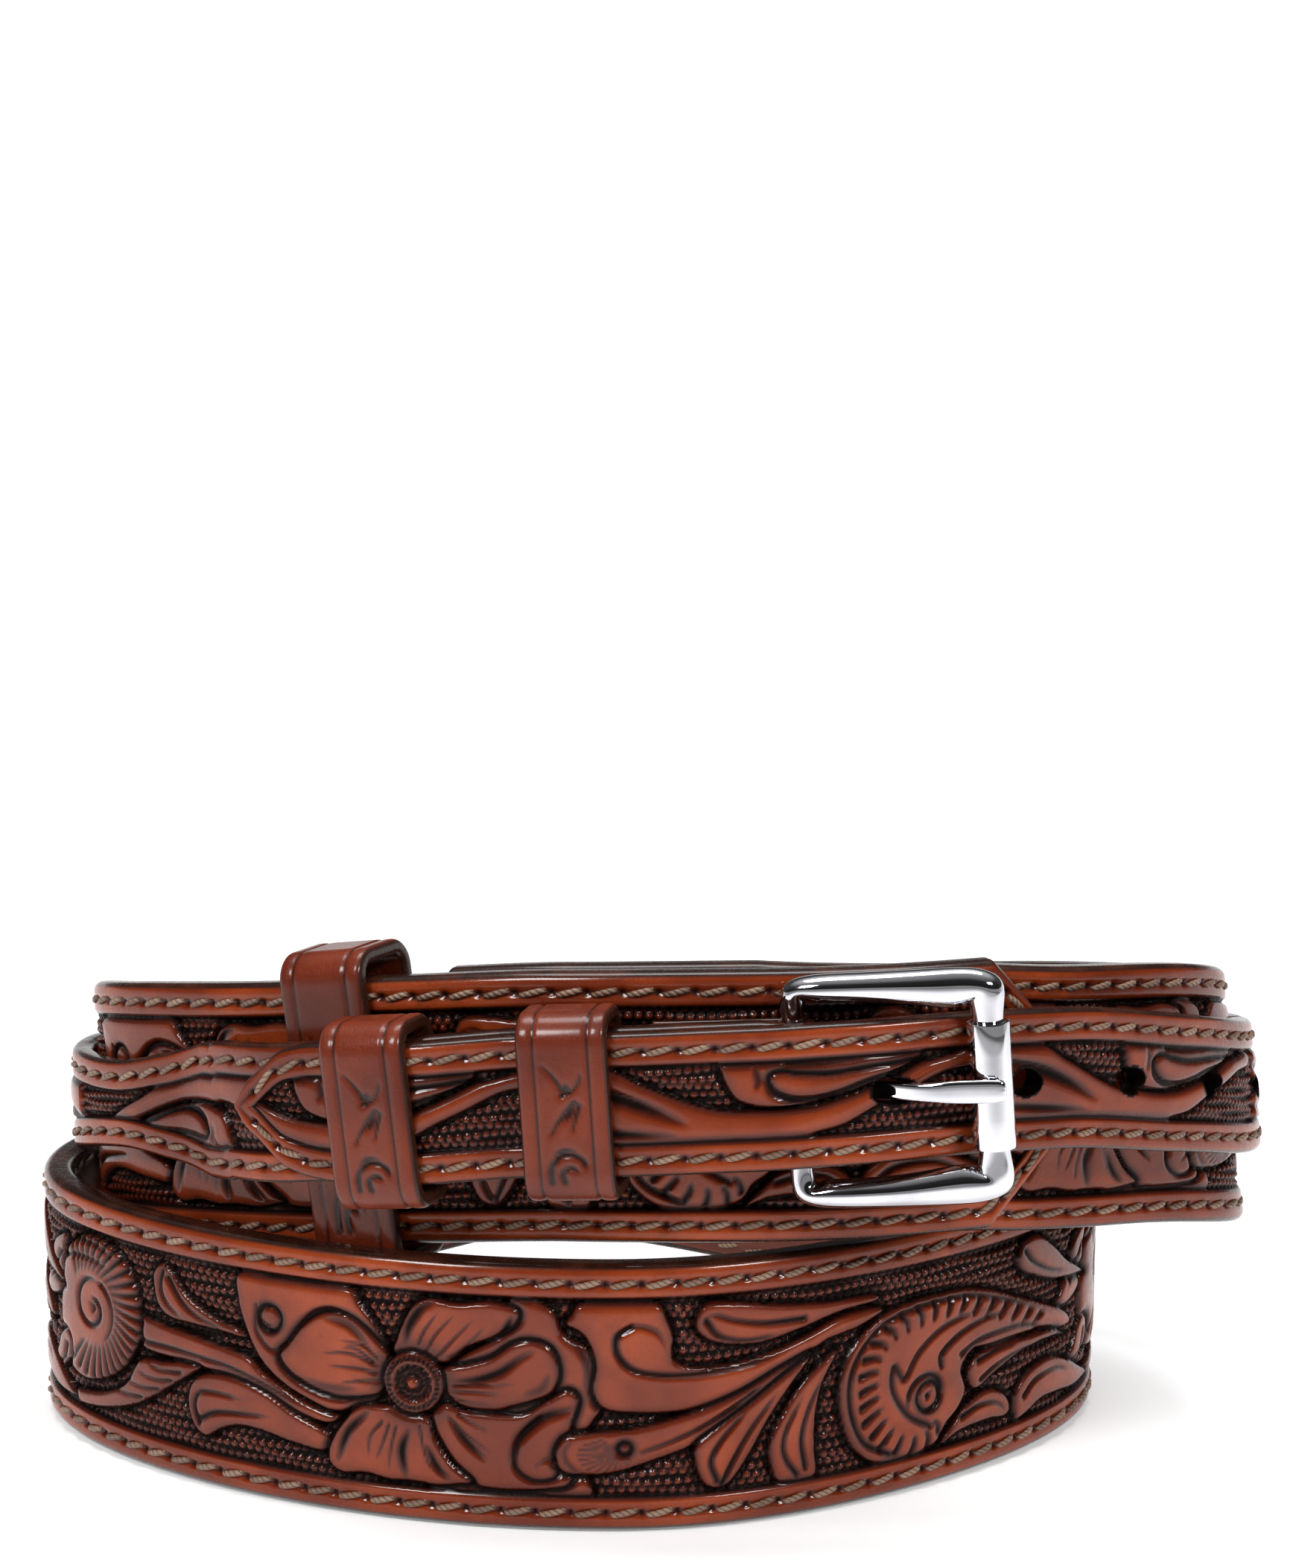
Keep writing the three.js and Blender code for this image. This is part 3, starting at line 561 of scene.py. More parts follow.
def flower(t, cx, cy):
    """The five-petal flower: the band that wraps its right side, its petals, then the seeded middle."""
    t.shape([(87, 15), (92.4, 13.8), (94.2, 10.2), (97.8, 7.9), (100.3, 4.4), (100.3, 0.8), (98, -2.7),
             (96.6, -6.2), (97.2, -9.8), (97.8, -13.4), (90, -14.6), (76, -14.4), (76, 2), (84, 9)],
            top=-0.06, dome=0.2)
    leaf(t, [(70.5, 5.4), (71, 8.5), (72.2, 11.4), (73.6, 13.4), (75.9, 14.3), (79.8, 13.9), (84.4, 14.4),
             (88, 13.3), (87.5, 11.1), (84.4, 9.1), (81.3, 7.7), (79.3, 6), (77, 4.8)],
         [(75.2, 6.5), (76.6, 9.2), (79.3, 12.2)], [(76.6, 5.8), (79, 8.6), (82, 11.8)],
         [(78.4, 6), (81, 8), (83.6, 10.9)], [(74.2, 7.6), (75, 9.6), (77, 12.4)],
         knife=PETAL_KNIFE, dome=0.35, hollow=0.3)
    t.dent([(72.2, 7.5), (73, 10.5), (74.8, 13), (76.5, 13.6)], 0.75, 0.45)
    t.dent([(85.5, 9.4), (86.6, 11), (87.3, 12.6)], 0.6, 0.4)
    leaf(t, [(77.3, 4.2), (81, 5.3), (84.4, 6.5), (87.2, 8.5), (90, 9.1), (92.6, 7.9), (93.6, 4.7),
             (92.6, 1.5), (90, 0.4), (87.2, -0.5), (84.4, -1.5), (81, -1.3), (78.1, 0.4)],
         [(78.6, 1.2), (82, 1.4), (86.2, 1.2)], [(78.4, 0.4), (81, -0.1), (84.6, -0.2)],
         [(79, 2), (83, 2.4), (87.6, 2.8)], knife=PETAL_KNIFE, top=0.02, dome=0.4, hollow=0.35)
    t.dent([(79, 2.6), (82.5, 3.2), (85.5, 4.4), (88.4, 6.6), (90.2, 7.6)], 0.7, 0.45)
    t.dent([(89, 1.4), (91.2, 2.2), (92.3, 4.6)], 0.7, 0.3, 0.6)
    leaf(t, [(77.6, -0.6), (80.5, -1.4), (84.2, -1.6), (88.6, -1.4), (91.5, 0.4), (94.6, 2.2), (96.2, 0.8),
             (95.4, -2.4), (95.2, -5.2), (95.8, -8.4), (94.9, -11.4), (92, -12.2), (87, -12.6), (82, -12.2),
             (79.2, -9.6), (76.9, -6), (75.6, -3)], [(79.6, -1.9), (82.2, -3.4), (84.4, -4.2)],
         [(78.4, -2.6), (81, -4.9), (84.6, -7.4)], knife=PETAL_KNIFE, top=-0.04, dome=0.3, hollow=0.15)
    t.dent([(95, -0.6), (91, -2), (88, -5.2), (87.5, -8.4)], 0.85, 0.5)
    t.cut([(91, -2.2), (87.8, -5.6), (87.5, -9), (89.8, -10.9), (92.8, -10.6), (93.6, -8.7), (91.9, -7.8),
           (90.4, -8.8)], 0.55, 0.38, 0.9, 0.9)
    t.dent([(78.6, -3), (80.6, -5.6), (83.6, -8.4)], 0.6, 0.4)
    leaf(t, [(68.5, -1.7), (65.1, -2.3), (62.5, -5.1), (60.8, -8), (60.4, -10.8), (62.5, -12.4), (66.2, -12),
             (69.6, -12.6), (73, -12.4), (76.4, -12.7), (79.8, -12.2), (81.6, -11.6), (78.7, -9.1),
             (76.4, -5.7), (75.3, -2.8), (72, -1.6)],
         [(68.8, -4), (67, -6.4), (66.8, -9.4)], [(69.8, -4.4), (68.9, -7), (67.9, -9.6)],
         [(74.2, -4), (74.8, -7.4), (75.8, -10.4)], [(70.8, -4.6), (70, -8), (69.8, -11)],
         knife=PETAL_KNIFE, dome=0.38, hollow=0.3)
    t.dent([(66.6, -3), (63.6, -6.2), (62, -10.6)], 0.65, 0.45)
    t.dent([(72.6, -5), (71.6, -8), (72.2, -12)], 0.7, 0.45)
    t.dent([(75.2, -7), (76.6, -9.8), (78.6, -11.6)], 0.6, 0.4)
    leaf(t, [(69.9, 5.1), (67.6, 8.1), (63.9, 10.6), (60.2, 10.7), (56.9, 8.6), (54.5, 5.6), (52.9, 3.6),
             (54.2, 1.5), (57.5, -0.3), (61.6, -1.2), (66.4, -0.8), (69, 0.6)],
         [(68.2, 3.9), (64, 5.2), (59.4, 4.7)], [(68, 2.8), (65.2, 3.2), (60.2, 3)],
         [(68.2, 5), (66, 6.6), (62.4, 6.9)], [(68.4, 1.7), (66, 1.5), (62.4, 0.8)],
         [(67.6, 4.4), (65, 6), (62.8, 6)], knife=(0.3, 0.2), dome=0.4, hollow=0.5)
    t.dent([(60.4, 10), (64, 9.2), (67.2, 6.2)], 0.8, 0.35, 0.6)
    t.dent([(56.4, 0.6), (60.6, -0.2), (65.6, 0.2)], 0.8, 0.3, 0.5)
    # Darker towards the middle, round the seeded centre.
    at, gx, gy = t.window(np.array([(cx - 9, cy - 9), (cx + 9, cy + 9)]), 0.4)
    past = np.clip(np.hypot(gx - cx, gy - cy) - 4.2, 0, None)
    t.finish_and_shade[at] = np.maximum(t.finish_and_shade[at], 0.6 * np.exp(-(past / 2.4) ** 1.5))
    ring = np.radians(np.arange(0, 360, 20))
    t.shape(np.stack([cx + 4.4 * np.cos(ring), cy + 4.5 * np.sin(ring)], -1),
            top=0.02, dome=0.5, bevel=0.45)
    at, gx, gy = t.window(np.array([(cx - 4.3, cy - 4.3), (cx + 4.3, cy + 4.3)]), 0.4)
    r, a = np.hypot(gx - cx, gy - cy), np.arctan2(gy - cy, gx - cx)
    h, w = t.height[at], t.finish_and_shade[at]
    rays = 0.5 + 0.5 * np.cos(a * 34)
    outer = np.clip((4.15 - r) / 0.3, 0, 1) * np.clip((r - 3) / 0.25, 0, 1)
    h -= outer * (0.1 + 0.28 * rays)
    w = np.maximum(w, outer * (0.5 + 0.5 * rays))
    inner = np.clip((2.95 - r) / 0.25, 0, 1)
    spin = np.abs(np.cos(a * 8 + r * 3.5))
    ringed = np.abs(np.cos((r - 0.9) * math.pi / 0.82))
    h = h * (1 - inner) + inner * (-0.35 + 0.5 * spin * ringed)
    w = np.maximum(w * (1 - inner), inner * (1 - 0.5 * spin * ringed))
    mid = np.clip((0.85 - r) / 0.25, 0, 1)
    h = h * (1 - mid) + mid * 0.55
    w = w * (1 - 0.9 * mid)
    t.height[at], t.finish_and_shade[at] = h, w


def feathers(t, centre, inner, outer, first, last, count, sweep=16.0, **looks):
    """Short cuts fanned round a scroll from its rim inward."""
    for k in range(count):
        a = math.radians(first + (last - first) * (k + 0.5) / count)
        b = a + math.radians(sweep)
        m = (a + b) / 2 - 0.05
        mid = (inner + outer) / 2
        t.cut([(centre[0] + outer * math.cos(a), centre[1] + outer * math.sin(a)),
               (centre[0] + mid * math.cos(m), centre[1] + mid * math.sin(m)),
               (centre[0] + inner * math.cos(b), centre[1] + inner * math.sin(b))], **looks)


def spiral(centre, r0, r1, a0, a1, steps=14, squash=1.0):
    """Points of a spiral from one radius and angle to another."""
    rows = []
    for k in range(steps + 1):
        f = k / steps
        r, a = r0 + (r1 - r0) * f, math.radians(a0 + (a1 - a0) * f)
        rows.append((centre[0] + r * math.cos(a), centre[1] + squash * r * math.sin(a)))
    return rows


def body_drawing():
    """One repeat of the wide strap's carving: shell scroll, leaves, flower, leaves, feathered scroll.

    Each point is millimetres along the strap and millimetres up from its middle."""
    t = Tooling(PANEL_REPEAT, -(BODY_WIDTH / 2 - BODY_BORDER), BODY_WIDTH / 2 - BODY_BORDER, DRAWING_MIDDLE)
    t.beads()
    # Broad stems that run from the shell scroll under the flower.
    t.shape([(26, 4.6), (34, 4.2), (41, 3.5), (47.5, 2.5), (50.5, 0.4), (56, -2.4), (62, -4), (60, -5.6),
             (52, -4.4), (46, -2.2), (40, -1), (33, -0.6), (27.5, 0.2)], dome=0.3)
    t.cut([(27, 1), (33, 1.2), (39, 0.9), (45, 0.3), (51, -1.4), (58, -4)], 0.5, 0.34, 0.8, 0.5)
    leaf(t, [(27, -2), (32, -1.2), (36, -0.6), (39, -0.9), (36.8, -2.6), (33.4, -4.8), (30, -7),
             (25.5, -9.4), (20, -11.2), (13, -12.6), (6, -12.8), (8, -11), (15, -9.8), (20, -8.4), (24, -6)],
         [(35.5, -2.2), (31.5, -2.6), (28.6, -1.9)], [(33.6, -3.8), (30, -4.2), (26.5, -3.6)],
         [(31, -5.6), (27.4, -6), (23.6, -5.4)], [(27.4, -7.6), (23.4, -7.8), (19.4, -7.4)],
         knife=(0.4, 0.28, 0.9, 0.2), dome=0.3)
    # The shell scroll.
    t.shape([(14.5, 14.2), (19.5, 14.2), (23.6, 12.6), (26.2, 9.8), (27.3, 6), (27.3, 1.6), (25.6, -1.8),
             (22.8, -4.8), (18.6, -7.2), (13.4, -8.4), (9.4, -7.4), (7, -4.2), (6.2, 0), (6.6, 4.4),
             (7.6, 8.6), (10.4, 12.2)], dome=0.55, top=-0.05)
    feathers(t, (16.6, 3.6), 5.3, 10.9, -128, 128, 25, 14, depth=0.48, width=0.34, start=1.0, end=0.2)
    t.cut(spiral((16.6, 3.6), 1.5, 4.6, 60, -300, 22), 0.5, 0.34, 0.9, 0.9)
    t.cut(spiral((16.6, 3.6), 4.6, 5.4, -300, -420, 8), 0.45, 0.3, 0.9, 0.3)
    t.dent([(16.4, 4.2), (17.2, 3.4), (16.4, 3)], 0.55, 0.45, 0.9)
    t.cut([(8.2, 9.4), (12.4, 10.6), (17, 10.8), (21, 10.2)], 0.5, 0.34, 0.9, 0.3)
    t.cut([(10.6, 12.6), (14.4, 13.2), (18.6, 13), (22.6, 11.6)], 0.45, 0.3, 0.9, 0.3)
    leaf(t, [(2.4, 7.2), (3.2, 10.2), (5.8, 12), (8.6, 12.6), (7.6, 9.6), (7, 6.4), (5.6, 3.2), (2.2, 1.6),
             (-2, 1.2), (-0.4, 4.2)], [(6.6, 9.6), (4.4, 7.2), (1.4, 3.8)])
    leaf(t, [(7.2, -7.6), (9.4, -6), (9.8, -3.2), (8, -2), (5.4, -3.4), (3.6, -6.2), (0.4, -8.2), (-3, -8.8),
             (-0.6, -10.6), (3.8, -10.2)], [(8, -4.4), (6.6, -7), (2.6, -8.8)])
    # Small leaf above the stems.
    leaf(t, [(30.4, 9.1), (30.3, 11.8), (32.1, 13.5), (34.4, 12.2), (36.6, 9.9), (39.5, 8.2), (42.9, 6.9),
             (46, 6.3), (47.6, 4.9), (42.9, 5.2), (37.8, 5.3), (33.4, 5.5), (31.2, 6.9)],
         [(32.4, 12.4), (31.9, 10), (33, 7.8), (36.2, 5.8)],
         [(33.4, 11.6), (36, 8.4), (39.4, 6.6), (44, 5.6)])
    # The big leaf that wraps the flower's left petal, with its curl.
    t.shape([(46.2, 14.5), (52, 14.7), (58, 14.7), (64, 14.7), (65.6, 12.8), (67.4, 10.4), (69.6, 6.8),
             (70.4, 3), (68.8, -0.4), (66, -2.4), (61.6, -3.6), (57.7, -2.6), (53.7, -0.9), (50.6, 1.3),
             (48.6, 3.8), (47, 7.2), (46, 10.6)], dome=0.32)
    t.cut([(49.4, 10.4), (49.2, 7), (51.2, 4.4), (53.2, 4.3), (55.6, 6.6), (58.2, 10.2), (61.6, 11.2),
           (65, 9.8)], 0.5, 0.34, 0.4, 1.0)
    t.eyelet(51.6, 8.7, 1.75)
    t.dent([(50.4, 8.4), (51.2, 7.6), (52.4, 7.8)], 0.4, 0.3, 0.8)
    # Lower leaf left of the flower.
    leaf(t, [(40, -10.9), (37.7, -9.7), (36.6, -6.8), (37, -3.9), (38.9, -1.9), (42.3, -1.1), (46.3, -1.3),
             (50.9, -2.5), (55.4, -4.7), (60.2, -6.7), (60.4, -9.6), (54.8, -9.2), (50.3, -8.4),
             (46.3, -8.2), (42.9, -9.2)],
         [(38.8, -9), (38, -6.4), (39.2, -4.3), (42.4, -3.9), (46.8, -4.1)],
         [(39.2, -8.2), (42, -6.8), (46.4, -6.2), (51.4, -5.8)])
    flower(t, 73.3, 2.0)
    # Leaves right of the flower.
    t.shape([(96.4, 14.5), (101, 14.7), (106.6, 14.5), (108, 12.4), (108.9, 9.6), (108.9, 6.6), (111, 5.3),
             (114, 5), (118, 5.4), (123, 6.4), (128, 8), (133, 9.8), (139, 10.2), (140.6, 9), (136, 7.6),
             (131, 6.4), (126.6, 3.6), (121.6, 1.2), (116.4, -0.6), (110.4, -1.3), (104, -1.2),
             (99.6, -0.6), (98, 2), (98.3, 6), (96.8, 9.8), (94.4, 11.4), (95.2, 13)], dome=0.34)
    t.cut([(103.2, 11.2), (101.3, 9.9), (101.4, 7.4), (103.4, 5.2), (107.4, 4.3), (112.6, 4.2), (118.6, 4.8),
           (124.6, 6)], 0.5, 0.36, 1.0, 0.5)
    t.dent([(102.2, 10.6), (104, 11.4), (106.6, 10.4), (107.8, 8.2)], 0.5, 0.3, 0.55)
    t.dent([(93.6, 10), (96.2, 8.2), (97.4, 5.2), (97, 1.6)], 0.65, 0.35, 0.75)
    leaf(t, [(112, 12.6), (111.8, 10.4), (113.6, 8.6), (117, 7.7), (121.4, 7.6), (127, 8.8), (133, 10.3),
             (139, 10.9), (139, 12), (130.6, 12.3), (124, 12.9), (117.6, 13.9), (113.6, 14.1)],
         [(127.4, 10.4), (121.6, 10.5), (117.4, 11.3), (114, 12.4), (112.9, 11.4)],
         [(113.2, 11.6), (115, 9.3), (118.6, 8.3), (123.6, 8.6)])
    t.shape([(92.9, -7), (93.6, -9.4), (96.4, -10.1), (101, -9.7), (106.4, -8), (112, -6.1), (117, -4),
             (122, -0.6), (128.4, 5), (124, 3.8), (117.6, 0.8), (111, -1.4), (103.4, -3.2), (97.4, -3.8),
             (94.2, -4.6)], dome=0.32)
    t.cut([(104.6, -6.6), (109, -5), (114, -2.8), (119.4, 0.2)], 0.4, 0.3, 0.3, 1.0)
    t.cut([(112, -3.6), (116.4, -1.4), (121.4, 1.8)], 0.36, 0.26, 0.3, 1.0)
    for k in range(15):
        a = math.radians(100 + 19 * k)
        t.cut([(99.6 + 3.6 * math.cos(a), -7.1 + 2.4 * math.sin(a)), (102, -6.6)], 0.22, 0.15, 0.9, 0.3, 0.6)
    t.dent([(95, -4.8), (94.2, -7.2), (95.8, -9.4), (98.4, -10)], 0.45, 0.3, 0.6)
    t.eyelet(102.3, -6.1, 0.75)
    leaf(t, [(111.8, -6.2), (111.7, -9), (113, -12), (115.4, -12.8), (117.3, -11.3), (119.6, -8),
             (123, -2.4), (128.4, 4.2), (131.4, 6.2), (125.6, 3.4), (119.6, -0.6), (114.4, -4)],
         [(115.4, -12.1), (117.2, -8.4), (119.6, -4.4), (123.4, 0.4)],
         [(114.8, -11.6), (113.9, -8.6), (115.4, -5.6), (119.2, -1.4)])
    leaf(t, [(123.8, -13), (122.4, -10.3), (122.3, -6.8), (123.9, -3.4), (127.2, 1.2), (132.8, 5.2),
             (130.4, 0.4), (129.4, -4), (129.3, -8.8), (129.2, -13)],
         [(126.4, -12.2), (124.4, -9), (124.6, -5.6), (127, -1)],
         [(127.6, -11.2), (127, -7), (128.2, -2.4), (130.4, 1.6)])
    # The feathered scroll: rim, feathers, inner curls and eye.
    t.shape([(139.7, -13.2), (135.4, -10.2), (133.4, -5.8), (132.9, -1.2), (133.9, 2.8), (136.2, 6.2),
             (140.2, 8.8), (144.8, 9.8), (150, 10), (155.6, 9.8), (161.2, 8.4), (166.8, 6.2), (172.4, 4),
             (179.8, 0.8), (181.6, -1.6), (178, -2), (173.6, -0.6), (168, -0.2), (162, -0.4), (157.4, 0.2),
             (155, -2), (156, -5), (154.4, -8), (152, -9.8), (150.4, -12), (146, -13.4)], dome=0.35)
    t.cut([(141.6, -12), (137, -9.4), (135, -5.4), (134.5, -1.2), (135.4, 2.4), (137.8, 5.6), (141.2, 7.8),
           (146, 8.8), (151, 9), (156.4, 8.6), (162, 7), (168, 4.8), (175, 1.8)], 0.5, 0.36, 1.0, 0.6)
    # A faint darker line where the feathers end, with next to no depth.
    t.cut([(140.8, -9.6), (138.6, -5.6), (138.3, -1), (139.6, 2.6), (142.8, 5.2), (148, 6.4), (154, 6.2),
           (159, 6)], 0.001, 0.2, 0.2, 0.2, 0.1)
    for a, b in (((136.4, -2), (139.4, -1.2)), ((136.5, -4.2), (139.6, -3)), ((136.9, -6.6), (140, -4.8)),
                 ((138.2, -8.8), (140.8, -6.4)), ((139.8, -10.6), (142, -8)), ((142.4, -12), (143.6, -9.2)),
                 ((145.4, -12.6), (145.6, -9.8)), ((148.4, -12.2), (147.6, -9.6)),
                 ((150.4, -10.6), (149, -8.4)), ((136.3, 0.4), (139.5, 0.6)), ((136.9, 2.8), (140, 2.2)),
                 ((138.4, 5), (140.9, 3.6)),
                 ((140.6, 6.8), (142.4, 4.8)), ((143.4, 8), (144.4, 5.4)), ((146.4, 8.5), (146.7, 5.8)),
                 ((149.4, 8.7), (148.9, 6.2)), ((152.4, 8.6), (151.4, 6.2)), ((155.4, 8.3), (153.9, 6)),
                 ((158.4, 7.6), (156.6, 5.4)), ((161.4, 6.7), (159.4, 4.6)), ((164.2, 5.6), (162, 3.6)),
                 ((167, 4.5), (164.8, 2.6)), ((169.8, 3.4), (167.6, 1.6)), ((172.6, 2.2), (170.2, 0.8))):
        t.cut([a, ((a[0] + b[0]) / 2 + 0.3, (a[1] + b[1]) / 2 + 0.3), b], 0.5, 0.42, 1.0, 0.3)
    t.cut([(148.6, -9.2), (144.4, -6.6), (141.8, -2.6), (142, 1), (143.8, -1.2), (146.4, 2.2), (150.4, 4.8),
           (154.6, 5.8), (159, 6)], 0.55, 0.42, 0.8, 0.4)
    t.cut([(150.6, -0.6), (150.8, 1.2), (154.4, 3.4), (159.6, 4.6), (164.6, 4.2)], 0.5, 0.4, 0.9, 0.3)
    t.cut([(154.6, 0.2), (158.6, 1.6), (163.6, 1.9), (168.6, 1.4), (174.6, -0.8)], 0.5, 0.4, 0.8, 0.4)
    t.cut(spiral((148.4, -4.6), 1.6, 4.2, -60, 205, 14), 0.5, 0.4, 1.0, 0.7)
    t.eyelet(148.3, -4.7, 2.0)
    t.dent([(147.9, -4.4), (148.6, -4.9)], 0.7, 0.5, 1.0)
    leaf(t, [(156.2, -2.4), (156.5, -4.8), (158.2, -6), (161.4, -4.6), (166.8, -3), (171.8, -2.4),
             (177, -2.6), (181, -3.4), (176, -1.2), (170, -0.6), (163.8, -0.2), (158.4, -0.6)],
         [(158.8, -4.6), (161.6, -3.4), (166, -2.4), (170.6, -2)],
         [(158.2, -1.6), (162.4, -0.9), (167, -0.9)])
    leaf(t, [(150.6, -13), (154.4, -11.6), (160, -11.2), (164.6, -11.6), (165.6, -9.9), (163.8, -7.6),
             (160.2, -6.4), (156.4, -7.6), (154.2, -9)],
         [(155, -9.4), (158.6, -8.4), (162, -8.8), (164.4, -10.6)])
    leaf(t, [(167, -13), (166.4, -9.4), (168, -7), (171.6, -5.5), (176, -5.4), (180.6, -7), (185.4, -9.4),
             (189.6, -11.8), (184, -12.4), (178, -11.6), (173, -11.4), (169.4, -12.6)],
         [(168.6, -9.6), (171.4, -7.8), (176.4, -7.4), (181, -8.8)])
    leaf(t, [(166.8, 11.6), (168.4, 14), (172, 14.4), (176, 12), (180.4, 8.6), (184.6, 6.4), (187, 4.8),
             (181.6, 5.4), (176, 6.4), (171, 8.2), (168, 9.6)],
         [(168.6, 12.6), (170.4, 10.6), (174.6, 8.4), (179.4, 7)])
    return t


def billet_drawing():
    """One repeat of the narrow straps' carving: a waving stem, a leaf in each of its bends and seeding."""
    half = BILLET_WIDTH / 2 - BILLET_BORDER
    t = Tooling(BILLET_REPEAT, -half, half)
    t.beads(1.25)
    # The stem fills the strap below the leaf and climbs to the upper edge.
    t.shape([(-24, -6.4), (-24.4, 0), (-24, 5.6), (-17, 5.2), (-12.8, 3.1), (-6.8, 0.4), (-2.1, -1),
             (2.5, -1.25), (9.5, -1), (14.1, 0), (18.8, 1.5), (23.4, 3.3), (28, 4.3), (33, 5.2), (33, 3),
             (28, 2), (23.4, 0.1), (18.8, -1.7), (14.1, -4), (10.4, -4.9), (4.8, -6.4)], dome=0.4)
    t.dent([(-23, 2.6), (-17.5, 1.6), (-12.4, -0.2), (-7, -2.6)], 0.95, 0.55)
    t.cut([(-23, 3.2), (-17, 2.2), (-12, 0.2), (-7.4, -2.6)], 0.4, 0.3, 1.0, 0.2)
    t.dent([(-24, -3), (-17, -3.6), (-8, -4.3)], 0.7, 0.5)
    # The leaf above it, and the folded tongue inside the leaf.
    t.shape([(-2.4, 5.6), (-2.1, 4.4), (-1.4, 2.2), (0.2, 0), (3.9, -1), (9.5, -0.85), (14.1, 0.15),
             (18.8, 1.65), (23.2, 3.4), (25, 4.8), (24.6, 6.4), (10, 6.4), (0, 6.4)], dome=0.35)
    t.shape([(4.4, 3.3), (4.8, 1.7), (6.7, 0.5), (9.5, 0.1), (13.2, 0.7), (16.9, 1.9), (21.1, 3),
             (24.1, 4.1), (21.1, 3.9), (16.9, 3.6), (12.3, 3.2), (8.1, 3.5), (5.8, 3.9)],
            top=0.1, dome=0.3, bevel=0.4)
    t.dent([(3.9, 3), (4.4, 1.2), (6.7, -0.1), (9.6, -0.4), (13, 0)], 0.5, 0.4)
    t.dent([(2.4, 4.8), (2.9, 3.2), (2.5, 1.6)], 0.6, 0.35, 0.75)
    t.cut([(6.6, 4.9), (11, 4.7), (17, 5)], 0.45, 0.34, 1.0, 0.4)
    return t


BODY_DRAWING = body_drawing()
BILLET_DRAWING = billet_drawing()
FREE_DRAWING_START = FREE.s[nearest_front(FREE_DRAWING_X)]
FOLD_STITCHED = FOLD.length - FOLD_SEAM_END


def body_half_width(s):
    """Half the wide strap's width, which runs out to a point at both ends."""
    near = np.minimum(s, BODY.length - s)
    return BODY_WIDTH / 2 * np.minimum(1, 0.05 + 0.95 * near / (END_SLOPE * BODY_WIDTH / 2))


def free_half_width(s):
    return BILLET_WIDTH / 2 * np.minimum(leaf_width(s / TAIL_LENGTH),
                                         tip_width((FREE.length - s) / TIP_LENGTH))


def fold_half_width(s):
    return BILLET_WIDTH / 2 * leaf_width(np.minimum(1, s / TAIL_LENGTH))


def seam_mark(d, seam):
    """The shallow channel that a row of stitches lies in."""
    return -0.28 * np.exp(-((d - seam) / 0.55) ** 2)


def groove(d, at, depth=0.42, width=0.3):
    """A pressed line at one distance from the edge."""
    return -depth * np.exp(-((d - at) / width) ** 2)


def carved(drawing, x, y, d, seam, border):
    """Height and wash of a strap's face: plain rim with its seam and edge line, tooling inside."""
    h, w = drawing.read(x, y)
    inside = np.clip((d - border) / 0.25, 0, 1)
    close = np.exp(-((d - border) / 0.9) ** 2) * (d > border)
    h = h * inside - 0.25 * close * inside
    w = np.maximum(w * inside, 0.8 * close * inside)
    h = h + seam_mark(d, seam) * (d < border) + groove(d, border)
    w = np.maximum(w, np.exp(-((d - border) / 0.32) ** 2))
    w = np.maximum(w, 0.45 * np.exp(-((d - seam) / 0.45) ** 2))
    return h, np.maximum(w, 0.75 * np.exp(-(d / 0.75) ** 2))


def body_face(s, v, d):
    return carved(BODY_DRAWING, BODY_DRAWING_START - s, v, d, BODY_SEAM, BODY_BORDER)


def free_face(s, v, d):
    return carved(BILLET_DRAWING, FREE_DRAWING_START - s, v, d, BILLET_SEAM, BILLET_BORDER)


def fold_face(s, v, d):
    return carved(BILLET_DRAWING, FOLD_DRAWING_START - s, v, d, BILLET_SEAM, BILLET_BORDER)


def seam_holes(h, w, s, v, stitches):
    """A dark hole pressed in the leather at each end of each stitch."""
    for at, across in stitches:
        i = np.searchsorted(s[:, 0], [at - 1.2, at + 1.2])
        part = (slice(i[0], i[1]), slice(None))
        r = np.hypot((s[part] - at) * 0.8, v[part] - across)
        mark = np.exp(-(r / 0.5) ** 2)
        h[part] -= 0.32 * mark
        w[part] = np.maximum(w[part], mark)


def seam_points(length, half_width, inset, first, last, pitch):
    """Stitch ends down one side of a strap, evenly spaced on the line inset from its edge."""
    s = np.arange(first, last, 0.25)
    v = half_width(s) - inset
    ok = v > 0.3
    s, v = s[ok], v[ok]
    run = np.r_[0, np.cumsum(np.hypot(np.diff(s), np.diff(v)))]
    k = max(1, int(round(run[-1] / pitch)))
    at = np.linspace(0, run[-1], k + 1)
    return np.stack([np.interp(at, run, s), np.interp(at, run, v)], -1)


def add_piece(name, mesh):
    made = bpy.data.objects.new(name, mesh)
    bpy.context.collection.objects.link(made)
    return made


def array_mesh(name, points, loops, starts, attributes):
    """A smooth mesh from arrays: points in millimetres, the faces' corners, where each face starts
    among them, and the attributes of the points."""
    mesh = bpy.data.meshes.new(name)
    mesh.vertices.add(len(points))
    mesh.vertices.foreach_set("co", (points / 1000).astype(np.float32).ravel())
    mesh.loops.add(len(loops))
    mesh.loops.foreach_set("vertex_index", loops.astype(np.int32))
    mesh.polygons.add(len(starts))
    mesh.polygons.foreach_set("loop_start", starts.astype(np.int32))
    mesh.update(calc_edges=True)
    for key, values in attributes.items():
        layer = mesh.attributes.new(key, "FLOAT", "POINT")
        layer.data.foreach_set("value", values.astype(np.float32).ravel())
    mesh.validate()
    mesh.shade_smooth()
    return mesh


